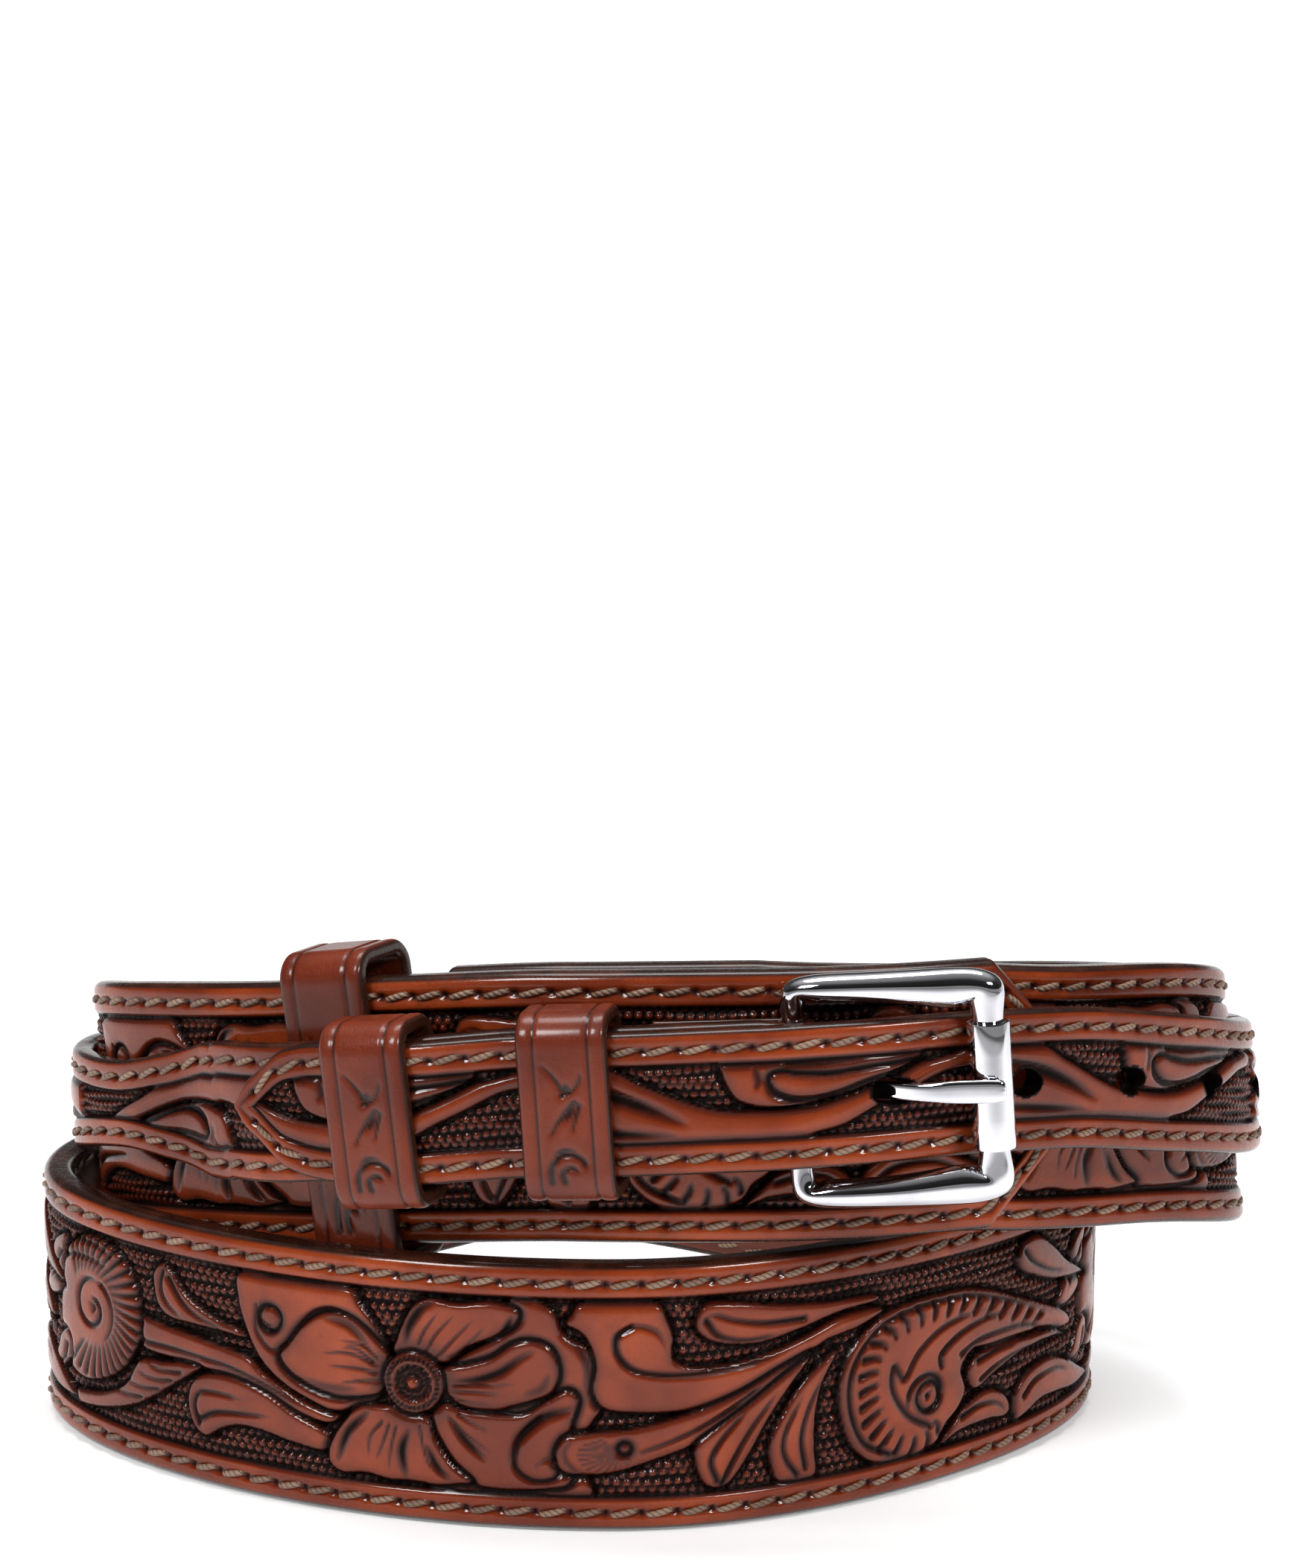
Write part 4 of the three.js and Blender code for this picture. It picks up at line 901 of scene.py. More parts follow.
def grid_mesh(name, points, attributes, normals=None, first=0, last=None):
    """A tube of quads from rows of section points, capped at both ends."""
    last = len(points) - 1 if last is None else last
    rows = points[first:last + 1]
    m, n = rows.shape[:2]
    i, j = np.meshgrid(np.arange(m - 1), np.arange(n), indexing="ij")
    a = i * n + j
    b = i * n + (j + 1) % n
    quads = np.stack([a, a + n, b + n, b], -1).reshape(-1, 4)
    loops = np.concatenate([quads.ravel(), np.arange(n), (m - 1) * n + np.arange(n)[::-1]])
    starts = np.concatenate([np.arange(len(quads)) * 4, [len(quads) * 4, len(quads) * 4 + n]])
    mesh = array_mesh(name, rows.reshape(-1, 3), loops, starts,
                      {key: values[first:last + 1] for key, values in attributes.items()})
    if normals is not None:
        mesh.normals_split_custom_set_from_vertices(normals[first:last + 1].reshape(-1, 3))
    return add_piece(name, mesh)


def strap_grid(line, s, half_width, face, back, columns, back_columns, corner, stitches):
    """Points, normals and finish attributes of a strap with a carved face and rounded edges. The first is
    how much dark finish lies there, a share later also used for painted shade in holes; kind is 0 on the
    face, up to 1 round the rim and -1 on the back."""
    p, t, u, n = line.at(s)
    p = p + SHIFT
    w = half_width(s)
    h = line.thick_at(s) / 2
    r = np.minimum(corner, np.minimum(h * 0.92, w * 0.8))
    c = np.linspace(1, -1, columns)
    v = c[None] * (w - r)[:, None]
    grid_s = np.repeat(s[:, None], columns, 1)
    d = w[:, None] - np.abs(v)
    rise, finish_and_shade = face(grid_s, v, d)
    seam_holes(rise, finish_and_shade, grid_s, v, stitches)
    fade = np.clip(np.minimum(s - s[0], s[-1] - s) / END_FADE, 0, 1)[:, None]
    rise = rise * fade * np.clip((d - r[:, None]) / 0.5, 0, 1)
    rim, flat = (w - r)[:, None], (h - r)[:, None]
    turn = np.radians(np.linspace(0, 90, 6))[None]  # the rounding of one edge, five new points each
    sin, cos, r1 = np.sin(turn), np.cos(turn), r[:, None]
    none = np.zeros((len(s), 5))
    vb = np.linspace(-1, 1, back_columns)[None] * rim
    hb, wb = back(np.repeat(s[:, None], back_columns, 1), vb, w[:, None] - np.abs(vb))
    cols = [
        (v, h[:, None] + rise, finish_and_shade, 0 * v),
        (-rim - r1 * sin[:, 1:], flat + r1 * cos[:, 1:], none, none + sin[:, 1:] ** 2),
        (-rim - r1 * cos[:, :-1], -flat - r1 * sin[:, :-1], none, none + 1),
        (vb, -h[:, None] - hb * fade, wb, 0 * vb - 1),
        (rim + r1 * sin[:, 1:], -flat - r1 * cos[:, 1:], none, none + 1),
        (rim + r1 * cos[:, :-1], flat + r1 * sin[:, :-1], none, none + cos[:, :-1] ** 2),
    ]
    across, out_by, finish_and_shade, kind = (np.concatenate(x, 1) for x in zip(*cols))
    points = p[:, None] + u[:, None] * across[..., None] + n[:, None] * out_by[..., None]
    ds = np.gradient(points, axis=0)
    dc = np.roll(points, -1, 1) - np.roll(points, 1, 1)
    normals = np.cross(ds, dc)
    normals /= np.maximum(np.linalg.norm(normals, axis=-1, keepdims=True), 1e-9)
    return points, normals, {"finish_and_shade": finish_and_shade, "kind": kind}


def plain_back(s, v, d):
    """The lining: smooth, with a shallow channel under each seam."""
    return seam_mark(d, BODY_SEAM) * 0.6, 0.35 * np.exp(-((d - BODY_SEAM) / 0.5) ** 2)


def plain_billet_back(s, v, d):
    return 0 * v, 0 * v


def thread_piece(name, rows, radius, sides=6):
    """Stitches as short twisted threads, each a bent tube whose ends dive into the leather.

    rows holds for each stitch its start, end, outward direction and sideways direction."""
    t = np.array([0, 0.1, 0.28, 0.5, 0.72, 0.9, 1.0])
    height = np.array([-0.75, 0.1, 0.5, 0.62, 0.5, 0.1, -0.75]) * radius * 1.5
    size = np.array([0.45, 0.85, 1, 1.04, 1, 0.85, 0.45]) * radius
    a = np.arange(sides) * 2 * math.pi / sides
    start, end, out, side = (np.array([r[k] for r in rows]) for k in range(4))
    k, m = len(rows), len(t)
    centre = (start[:, None] * (1 - t)[None, :, None] + end[:, None] * t[None, :, None]
              + out[:, None] * height[None, :, None])
    ring = (side[:, None, None] * (np.cos(a)[None, None] * size[None, :, None])[..., None]
            + out[:, None, None] * (np.sin(a)[None, None] * size[None, :, None] * 0.85)[..., None])
    v = (centre[:, :, None] + ring).reshape(-1, 3) + SHIFT
    base = np.arange(k)[:, None, None] * (m * sides)
    i, j = np.meshgrid(np.arange(m - 1), np.arange(sides), indexing="ij")
    q = np.stack([i * sides + j, i * sides + (j + 1) % sides, (i + 1) * sides + (j + 1) % sides,
                  (i + 1) * sides + j], -1).reshape(1, -1, 4)
    quads = (q + base).reshape(-1, 4)
    caps = np.stack([np.arange(sides)[::-1], (m - 1) * sides + np.arange(sides)])[None] + base
    caps = caps.reshape(-1, sides)
    loops = np.concatenate([quads.ravel(), caps.ravel()])
    starts = np.concatenate([np.arange(len(quads)) * 4, len(quads) * 4 + np.arange(len(caps)) * sides])
    finish = {"run": np.tile(np.repeat(t, sides), k), "turn": np.tile(np.tile(a / (2 * math.pi), m), k),
              "each": np.repeat(np.modf(np.arange(k) * 0.618)[0], m * sides)}
    made = add_piece(name, array_mesh(name, v, loops, starts, finish))
    fix_normals(made)
    return made


def select_only(thing):
    bpy.ops.object.select_all(action="DESELECT")
    thing.select_set(True)
    bpy.context.view_layer.objects.active = thing


def fix_normals(thing):
    """Turns every face of a piece outward, as recalculating normals by hand does."""
    select_only(thing)
    bpy.ops.object.mode_set(mode="EDIT")
    bpy.ops.mesh.select_all(action="SELECT")
    bpy.ops.mesh.normals_make_consistent(inside=False)
    bpy.ops.object.mode_set(mode="OBJECT")


def stitch_rows(line, half_width, inset, first, last, pitch, outward):
    """The stitches down both sides of a strap, on its face or on its back."""
    rows, holes = [], []
    for side in (1, -1):
        ends = seam_points(line.length, half_width, inset, first, last, pitch)
        for a, b in zip(ends[:-1], ends[1:]):
            s = np.array([a[0] + (b[0] - a[0]) * 0.07, b[0] - (b[0] - a[0]) * 0.07])
            v = side * np.array([a[1], b[1]]) + np.array([-STITCH_SLANT, STITCH_SLANT]) / 2 * outward
            p, t, u, n = line.at(s)
            h = line.thick_at(s)[:, None] / 2
            ends_at = p + u * v[:, None] + n * h * outward
            out = unit(n.mean(0)) * outward
            run = unit(ends_at[1] - ends_at[0])
            rows.append((ends_at[0] - out * 0.3, ends_at[1] - out * 0.3, out, unit(np.cross(run, out))))
        holes += [(a[0], side * a[1]) for a in ends]
    return rows, holes


class Value:
    """A socket that can be added, taken away and multiplied like a number."""

    def __init__(self, graph, socket):
        self.graph, self.socket = graph, socket

    def _maths(self, kind, *ins):
        return self.graph.node("ShaderNodeMath", {"operation": kind}, dict(enumerate(ins)))[0]

    def __add__(self, other): return self._maths("ADD", self, other)
    def __sub__(self, other): return self._maths("SUBTRACT", self, other)
    def __rsub__(self, other): return self._maths("SUBTRACT", other, self)
    def __mul__(self, other): return self._maths("MULTIPLY", self, other)
    def sine(self): return self._maths("SINE", self)
    def size(self): return self._maths("ABSOLUTE", self)

    def spread(self, low, high, to_low=0.0, to_high=1.0):
        """The value taken smoothly from one range to another and held inside it."""
        return self.graph.node("ShaderNodeMapRange", {"interpolation_type": "SMOOTHSTEP", "clamp": True},
                               {"Value": self, "From Min": low, "From Max": high, "To Min": to_low,
                                "To Max": to_high})[0]


class Graph:
    """One material's node tree, built by calls."""

    def __init__(self, name):
        self.material = bpy.data.materials.new(name)
        self.material.use_nodes = True
        self.tree = self.material.node_tree
        self.tree.nodes.clear()

    def feed(self, made, inputs):
        """Links or sets the inputs of a node."""
        for key, value in inputs.items():
            if isinstance(value, Value):
                self.tree.links.new(value.socket, made.inputs[key])
            else:
                made.inputs[key].default_value = value

    def node(self, kind, settings, inputs):
        made = self.tree.nodes.new(kind)
        for key, value in settings.items():
            setattr(made, key, value)
        self.feed(made, inputs)
        return [Value(self, s) for s in made.outputs if s.enabled]

    def attribute(self, name):
        return [v for v in self.node("ShaderNodeAttribute", {"attribute_name": name}, {})
                if v.socket.name == "Fac"][0]

    def place(self):
        return [v for v in self.node("ShaderNodeTexCoord", {}, {}) if v.socket.name == "Object"][0]

    def noise(self, where, scale, detail=3.0, rough=0.55, stretch=None):
        if stretch:
            where = self.node("ShaderNodeVectorMath", {"operation": "MULTIPLY"}, {0: where, 1: stretch})[0]
        return self.node("ShaderNodeTexNoise", {}, {"Vector": where, "Scale": scale, "Detail": detail,
                                                    "Roughness": rough})[0]

    def cells(self, where, scale):
        return self.node("ShaderNodeTexVoronoi", {"feature": "F1"}, {"Vector": where, "Scale": scale})[0]

    def mix(self, share, a, b):
        """A share of the second colour over the first. The node's inputs 6 and 7 and its output 2 are
        its colour sockets."""
        made = self.tree.nodes.new("ShaderNodeMix")
        made.data_type, made.blend_type = "RGBA", "MIX"
        a, b = (colour if isinstance(colour, Value) else (*colour, 1.0) for colour in (a, b))
        self.feed(made, {0: share, 6: a, 7: b})
        return Value(self, made.outputs[2])

    def bump(self, height, strength, distance, below=None):
        ins = {"Strength": strength, "Distance": distance, "Height": height}
        if below is not None:
            ins["Normal"] = below
        return self.node("ShaderNodeBump", {}, ins)[0]

    def finish(self, **looks):
        """Ends the tree in one principled shader whose sockets are set by name."""
        shader = self.tree.nodes.new("ShaderNodeBsdfPrincipled")
        self.feed(shader, {key.replace("_", " "): value for key, value in looks.items()})
        out = self.tree.nodes.new("ShaderNodeOutputMaterial")
        self.tree.links.new(shader.outputs[0], out.inputs[0])
        return self.material


# Colours as linear red, green and blue. Where there are two, the material wanders between them.
TAN = ((0.125, 0.016, 0.0036), (0.275, 0.043, 0.0085))
TAN_BLOTCH = (0.09, 0.011, 0.0032)
TAN_SPECK = (0.08, 0.014, 0.006)
HOLLOW_SHADE = (0.066, 0.0095, 0.0036)
# Black-brown of the finish in the cuts, also painted shade in the holes.
CUT_STAIN_AND_SHADE = (0.004, 0.0018, 0.0015)
LINING = ((0.075, 0.014, 0.0064), (0.135, 0.027, 0.011))
LINING_SPECK = (0.055, 0.012, 0.007)
LINING_SEAM = (0.02, 0.006, 0.004)
BURNISHED_EDGE = ((0.015, 0.005, 0.0032), (0.045, 0.012, 0.006))
KEEPER = ((0.085, 0.0115, 0.0042), (0.155, 0.0235, 0.0075))
KEEPER_SPECK = (0.055, 0.011, 0.006)
KEEPER_CUT = (0.009, 0.0035, 0.0025)
KEEPER_RIM = (0.03, 0.009, 0.005)
THREAD = ((0.14, 0.078, 0.05), (0.27, 0.165, 0.11))
THREAD_FUZZ = (0.07, 0.04, 0.026)
# Painted shade between the thread's strands and at its ends in the holes.
THREAD_SHADE = (0.03, 0.015, 0.01)
PLATE = ((0.66, 0.66, 0.69), (0.52, 0.52, 0.56))
PAPER = ((0.86, 0.86, 0.86), (0.88, 0.88, 0.88))
PAPER_FRONT = (0.3, 0.3, 0.3)
PAPER_GLOW = ((0.24, 0.24, 0.24), (0.95, 0.95, 0.95))
PAPER_FRONT_GLOW = (0.04, 0.04, 0.04)


def strap_leather():
    """Oiled saddle leather: warm tan, mahogany shade in its hollows, black-brown finish in the cuts,
    painted shade as dark in the holes, dark burnished edges and a plain red-brown lining."""
    g = Graph("tooled_leather")
    at = g.place()
    finish_and_shade, kind = g.attribute("finish_and_shade"), g.attribute("kind")
    cloud = g.noise(at, 38.0, 3.0)
    blotch = g.noise(at, 160.0, 4.0, 0.6)
    fine = g.noise(at, 1500.0, 4.0, 0.65)
    pores = g.cells(at, 2600.0)
    tan = g.mix(cloud.spread(0.32, 0.7), *TAN)
    tan = g.mix(blotch.spread(0.45, 0.75) * 0.45, tan, TAN_BLOTCH)
    tan = g.mix(fine.spread(0.5, 0.78) * 0.25, tan, TAN_SPECK)
    shade = g.mix(finish_and_shade.spread(0.0, 0.45), tan, HOLLOW_SHADE)
    # Where the black-brown lies: finish in the cuts, painted shade in the holes.
    stain_and_shade = (finish_and_shade + (blotch - 0.5) * 0.25 * finish_and_shade).spread(0.35, 0.92)
    outer = g.mix(stain_and_shade, shade, CUT_STAIN_AND_SHADE)
    lining = g.mix(cloud.spread(0.3, 0.72), *LINING)
    lining = g.mix(fine.spread(0.5, 0.8) * 0.35, lining, LINING_SPECK)
    lining = g.mix(finish_and_shade.spread(0.1, 0.6), lining, LINING_SEAM)
    face = g.mix(kind.spread(-0.6, -0.2), lining, outer)
    edge = g.mix(blotch.spread(0.4, 0.7), *BURNISHED_EDGE)
    rim = (kind + (blotch - 0.5) * 0.2).spread(0.1, 0.5)
    colour = g.mix(rim, face, edge)
    rough = fine.spread(0.3, 0.75, 0.26, 0.42) + stain_and_shade * 0.1 - rim * 0.04
    skin = g.bump(fine - pores * 0.35, 0.55, 0.00012)
    skin = g.bump(g.noise(at, 420.0, 3.0, 0.6), 0.42, 0.00028, skin)
    return g.finish(Base_Color=colour, Roughness=rough, Normal=skin, Coat_Weight=(1 - stain_and_shade) * 0.5 + 0.02,
                    Coat_Roughness=0.13, Specular_IOR_Level=0.05)


def keeper_leather():
    """Darker, redder leather of the loops, glossy, with a burnished rim."""
    g = Graph("loop_leather")
    at = g.place()
    finish_and_shade, kind = g.attribute("finish_and_shade"), g.attribute("kind")
    cloud = g.noise(at, 60.0, 3.0)
    fine = g.noise(at, 1500.0, 4.0, 0.65)
    pores = g.cells(at, 2300.0)
    body = g.mix(cloud.spread(0.3, 0.7), *KEEPER)
    body = g.mix(fine.spread(0.5, 0.78) * 0.35, body, KEEPER_SPECK)
    body = g.mix(finish_and_shade.spread(0.1, 0.9), body, KEEPER_CUT)
    colour = g.mix(kind.spread(0.1, 0.6), body, KEEPER_RIM)
    skin = g.bump(fine - pores * 0.4, 0.8, 0.00014)
    skin = g.bump(g.noise(at, 420.0, 3.0, 0.6), 0.35, 0.0003, skin)
    return g.finish(Base_Color=colour, Roughness=fine.spread(0.3, 0.75, 0.28, 0.46), Normal=skin,
                    Coat_Weight=0.45, Coat_Roughness=0.2, Specular_IOR_Level=0.08)


def waxed_thread():
    """Taupe thread of three twisted strands, with painted shade between them and at the stitches' ends."""
    g = Graph("waxed_thread")
    run, turn, each = g.attribute("run"), g.attribute("turn"), g.attribute("each")
    strands = (run * 15.0 + turn * 6.2832).sine().size()
    at = g.place()
    fuzz = g.noise(at, 2500.0, 3.0)
    body = g.mix(each, *THREAD)
    # Painted shade in the grooves between the strands.
    body = g.mix(strands.spread(0.0, 0.6, 0.75, 0.0), body, THREAD_SHADE)
    body = g.mix(fuzz.spread(0.55, 0.8) * 0.4, body, THREAD_FUZZ)
    # Painted shade where each stitch dives into its hole.
    ends = (run - 0.5).size().spread(0.36, 0.5)
    colour = g.mix(ends, body, THREAD_SHADE)
    return g.finish(Base_Color=colour, Roughness=fuzz.spread(0.3, 0.7, 0.4, 0.6),
                    Normal=g.bump(strands + fuzz * 0.3, 0.8, 0.0002))


def polished_metal():
    """Bright polished plate with faint handling marks."""
    g = Graph("polished_metal")
    at = g.place()
    cloud = g.noise(at, 120.0, 4.0, 0.6)
    hair = g.noise(at, 900.0, 2.0, 0.5, (1.0, 0.08, 0.3))
    dull = cloud.spread(0.35, 0.75, 0.035, 0.1) + hair.spread(0.62, 0.8, 0.0, 0.08)
    colour = g.mix(cloud.spread(0.3, 0.8), *PLATE)
    return g.finish(Base_Color=colour, Metallic=1.0, Roughness=dull,
                    Normal=g.bump(g.noise(at, 300.0, 2.0), 0.04, 0.0002))


def floor_paper():
    """White paper, as white far off as it is under the lamps, and pale grey on the camera's side."""
    g = Graph("floor_paper")
    at = g.place()
    grain = g.noise(at, 300.0, 3.0)
    colour = g.mix(grain.spread(0.3, 0.7), *PAPER)
    reach = g.node("ShaderNodeVectorMath", {"operation": "LENGTH"}, {0: at})[0]
    front = g.node("ShaderNodeSeparateXYZ", {}, {0: at})[1].spread(-0.45, -0.13)
    glow = g.mix(reach.spread(0.2, 1.5), *PAPER_GLOW)
    glow = g.mix(front, PAPER_FRONT_GLOW, glow)
    colour = g.mix(front, PAPER_FRONT, colour)
    return g.finish(Base_Color=colour, Roughness=0.8, Emission_Color=glow, Emission_Strength=1.0)


def length_property(name, description, default):
    return bpy.props.FloatProperty(name=name, description=description, default=default,
                                   unit="LENGTH", subtype="DISTANCE")


class BeltSizes(bpy.types.PropertyGroup):
    row_step: length_property("Carving step", "Distance between the points that carry the tooling", 0.00034)
    edge_round: length_property("Edge rounding", "Radius of the wide strap's burnished edges", 0.0015)
    billet_round: length_property("Narrow edge rounding", "Radius of the narrow straps' edges", 0.0011)


class SeamSizes(bpy.types.PropertyGroup):
    pitch: length_property("Stitch pitch", "Length of one stitch with its hole", 0.0048)
    thread: length_property("Thread radius", "Half the thickness of the waxed thread", 0.00046)


class KeeperSizes(bpy.types.PropertyGroup):
    step: length_property("Keeper step", "Distance between a keeper's points", 0.0004)
    groove_inset: length_property("Edge line", "Distance of a keeper's pressed line from its rim", 0.0024)


class BuckleSizes(bpy.types.PropertyGroup):
    sides: bpy.props.IntProperty(
        name="Section points", description="Points round the buckle's bars before smoothing", default=16)
    smoothing: bpy.props.IntProperty(
        name="Smoothing", description="Subdivision levels of the buckle's parts", default=2)


def mm(length):
    return length * 1000


def done(thing, body, material, *nodes, slot=None):
    """Gives a piece its material and its body, and hides the solids it stands for."""
    thing.data.materials.clear()
    thing.data.materials.append(material)
    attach(thing, body)
    if nodes:
        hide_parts(*nodes)
    return thing


class BELT_OT_wide_strap(bpy.types.Operator):
    """Makes the wide tooled strap from end to end, in lengths that meet without a seam"""
    bl_idname = "belt.wide_strap"
    bl_label = "Wide tooled strap"

    def execute(self, context):
        sizes, seam = context.scene.belt_sizes, context.scene.seam_sizes
        step = mm(sizes.row_step) * 1
        rows = int(BODY.length / step)
        s = np.linspace(0, BODY.length, rows)
        columns = int((BODY_WIDTH - 2 * mm(sizes.edge_round)) / step)
        _, holes = stitch_rows(BODY, body_half_width, BODY_SEAM, BODY_SEAM_START,
                               BODY.length - BODY_SEAM_START, mm(seam.pitch), 1)
        points, normals, finish = strap_grid(BODY, s, body_half_width, body_face, plain_back, columns, 40,
                                             mm(sizes.edge_round), holes)
        per_row = points.shape[1] * 2
        count = math.ceil(rows * per_row / MOST_TRIANGLES)
        cuts = np.linspace(0, rows - 1, count + 1).astype(int)
        material = bpy.data.materials.get("tooled_leather") or strap_leather()
        for k in range(count):
            made = grid_mesh(f"wide_strap_{k + 1}", points, finish, normals, cuts[k], cuts[k + 1])
            done(made, "belt", material, *(["belt_body"] if k == 0 else []), slot="strap_leather")
        return {"FINISHED"}


def billet_piece(name, line, half_width, face, node, scene):
    """A narrow strap with its carving, edges and pressed stitch holes."""
    sizes, seam = scene.belt_sizes, scene.seam_sizes
    step = mm(sizes.row_step) * 1
    s = np.linspace(0, line.length, int(line.length / step))
    columns = int((BILLET_WIDTH - 2 * mm(sizes.billet_round)) / step)
    _, holes = stitch_rows(line, half_width, BILLET_SEAM, BILLET_SEAM_START,
                           line.length - BILLET_SEAM_START, mm(seam.pitch), 1)
    points, _, finish = strap_grid(line, s, half_width, face, plain_billet_back, columns, 16,
                                   mm(sizes.billet_round), holes)
    made = grid_mesh(name, points, finish)
    material = bpy.data.materials.get("tooled_leather") or strap_leather()
    return done(made, "belt", material, node, slot="strap_leather")


def cut_away(thing, cutter):
    """Cuts one shape out of a piece, as the boolean modifier does."""
    select_only(thing)
    cut = thing.modifiers.new("cut", "BOOLEAN")
    cut.operation, cut.solver, cut.object = "DIFFERENCE", "EXACT", cutter
    bpy.ops.object.modifier_apply(modifier="cut")
    bpy.data.objects.remove(cutter)


def prism(name, centre, t, u, n, outline, deep):
    """A cutter with a flat outline, straight through along n."""
    k = len(outline)
    near = [centre + t * a + u * b - n * deep for a, b in outline]
    far = [centre + t * a + u * b + n * deep for a, b in outline]
    mesh = bpy.data.meshes.new(name)
    v = [list((p + SHIFT) / 1000) for p in near + far]
    faces = [list(range(k))[::-1], list(range(k, 2 * k))]
    faces += [[i, (i + 1) % k, k + (i + 1) % k, k + i] for i in range(k)]
    mesh.from_pydata(v, [], faces)
    # The cutter's faces become the walls of the hole: set full dark and to the burnished edges' colour,
    # painted shade inside the hole.
    for key, value in (("finish_and_shade", 1.0), ("kind", 0.7)):
        mesh.attributes.new(key, "FLOAT", "POINT").data.foreach_set("value", [value] * len(v))
    made = add_piece(name, mesh)
    fix_normals(made)
    return made


def darken(thing, centre, t, u, long, high):
    """Lays full darkness on everything inside and at the rim of an oval hole: painted shade in the hole."""
    count = len(thing.data.vertices)
    v = np.empty(count * 3, np.float32)
    thing.data.vertices.foreach_get("co", v)
    away = v.reshape(-1, 3) * 1000 - SHIFT - centre
    r = np.hypot(away @ t / (long + 0.25), away @ u / (high + 0.25))
    near = (r < 1) & (np.linalg.norm(away, axis=1) < 6)
    layer = thing.data.attributes["finish_and_shade"].data
    finish_and_shade = np.empty(count, np.float32)
    layer.foreach_get("value", finish_and_shade)
    finish_and_shade[near] = 1.0
    layer.foreach_set("value", finish_and_shade)


class BELT_OT_holed_billet(bpy.types.Operator):
    """Makes the long narrow strap with its oval holes, sewn on one end of the wide strap"""
    bl_idname = "belt.holed_billet"
    bl_label = "Holed narrow strap"

    def execute(self, context):
        made = billet_piece("holed_narrow_strap", FREE, free_half_width, free_face, "holed_billet",
                            context.scene)
        used = FREE.s[nearest_front(USED_HOLE_X)]
        for k in range(HOLE_COUNT):
            p, t, u, n = (a[0] for a in FREE.at(np.array([used - k * HOLE_PITCH])))
            long = (USED_HOLE_LENGTH if k == 0 else HOLE_LENGTH) / 2
            oval = [(long * math.cos(a), HOLE_HEIGHT / 2 * math.sin(a))
                    for a in np.radians(np.arange(0, 360, 12))]
            cut_away(made, prism("hole", p, t, u, n, oval, BILLET_THICK))
            darken(made, p, t, u, long, HOLE_HEIGHT / 2)
        return {"FINISHED"}


class BELT_OT_buckle_billet(bpy.types.Operator):
    """Makes the short narrow strap that folds round the buckle's heel bar"""
    bl_idname = "belt.buckle_billet"
    bl_label = "Buckle's narrow strap"

    def execute(self, context):
        made = billet_piece("buckle_narrow_strap", FOLD, fold_half_width, fold_face, "buckle_billet",
                            context.scene)
        long, high = FOLD_RADIUS + 0.6, SLOT_HEIGHT / 2
        slot = [(-long, -high), (long, -high), (long, high), (-long, high)]
        # The slot's walls come out dark: painted shade inside the slot.
        cut_away(made, prism("slot", HEEL, AXIS_A, AXIS_B, AXIS_C, slot, FOLD_RADIUS + 2))
        return {"FINISHED"}


class BELT_OT_stitching(bpy.types.Operator):
    """Sews the straps: twisted waxed thread down both edges of each"""
    bl_idname = "belt.stitching"
    bl_label = "Stitching"

    def execute(self, context):
        seam = context.scene.seam_sizes
        pitch, radius = mm(seam.pitch), mm(seam.thread)
        thread = waxed_thread()
        body = (BODY, body_half_width, BODY_SEAM, BODY_SEAM_START, BODY.length - BODY_SEAM_START)
        free = (FREE, free_half_width, BILLET_SEAM, BILLET_SEAM_START, FREE.length - BILLET_SEAM_START)
        fold = (FOLD, fold_half_width, BILLET_SEAM, BILLET_SEAM_START, FOLD_STITCHED)
        for name, strap, outward, thick in (
            ("wide_strap_stitches", body, 1, 1.0), ("lining_stitches", body, -1, 0.85),
            ("holed_strap_stitches", free, 1, 0.95), ("buckle_strap_stitches", fold, 1, 0.95),
        ):
            rows, _ = stitch_rows(*strap, pitch, outward)
            done(thread_piece(name, rows, radius * thick), "belt", thread)
        return {"FINISHED"}


def quarter_at(x):
    """Where the front of the upper turn passes x."""
    low, high = 0.0, 0.8
    for _ in range(40):
        m = (low + high) / 2
        if plan(m)[0][0] > x:
            low = m
        else:
            high = m
    return low


def keeper_drawing():
    """What is cut into the keepers: a scrap of leaf on the front and an arch lower down."""
    t = Tooling(KEEPER_REPEAT, -6, 6)
    t.cut([(39.6, 2.6), (42, 1.2), (44.6, 0.2), (46.6, 0.2)], 0.45, 0.3, 0.3, 1.0)
    t.cut([(46.6, 0.2), (45.2, -1.4), (43, -2.4), (40.8, -2.6)], 0.45, 0.3, 1.0, 0.3)
    t.dent([(43.6, -0.6), (45.4, -0.4), (46.4, 0)], 0.6, 0.4)
    t.cut([(47.6, -1.6), (50, -0.2), (53, 1.2), (56, 2.2)], 0.45, 0.34, 1.0, 0.3)
    t.cut([(48.4, -2.2), (51.4, -1.6), (55, -0.9)], 0.45, 0.3, 1.0, 0.2)
    t.dent([(48.6, -1.4), (50.4, -0.8), (52.4, 0)], 0.5, 0.35)
    t.cut([(65.4, 2.2), (61.6, 2.0), (59.4, 0.2), (60.2, -2), (63.2, -2.8)], 0.5, 0.4, 0.9, 0.9)
    t.cut([(65.4, 0.4), (63.2, 0.6), (62.2, -0.6), (63.4, -1.6)], 0.5, 0.4, 0.9, 0.9)
    t.dent([(59.6, 1.6), (58.4, 0.2), (58.8, -1.6)], 0.7, 0.4)
    return t


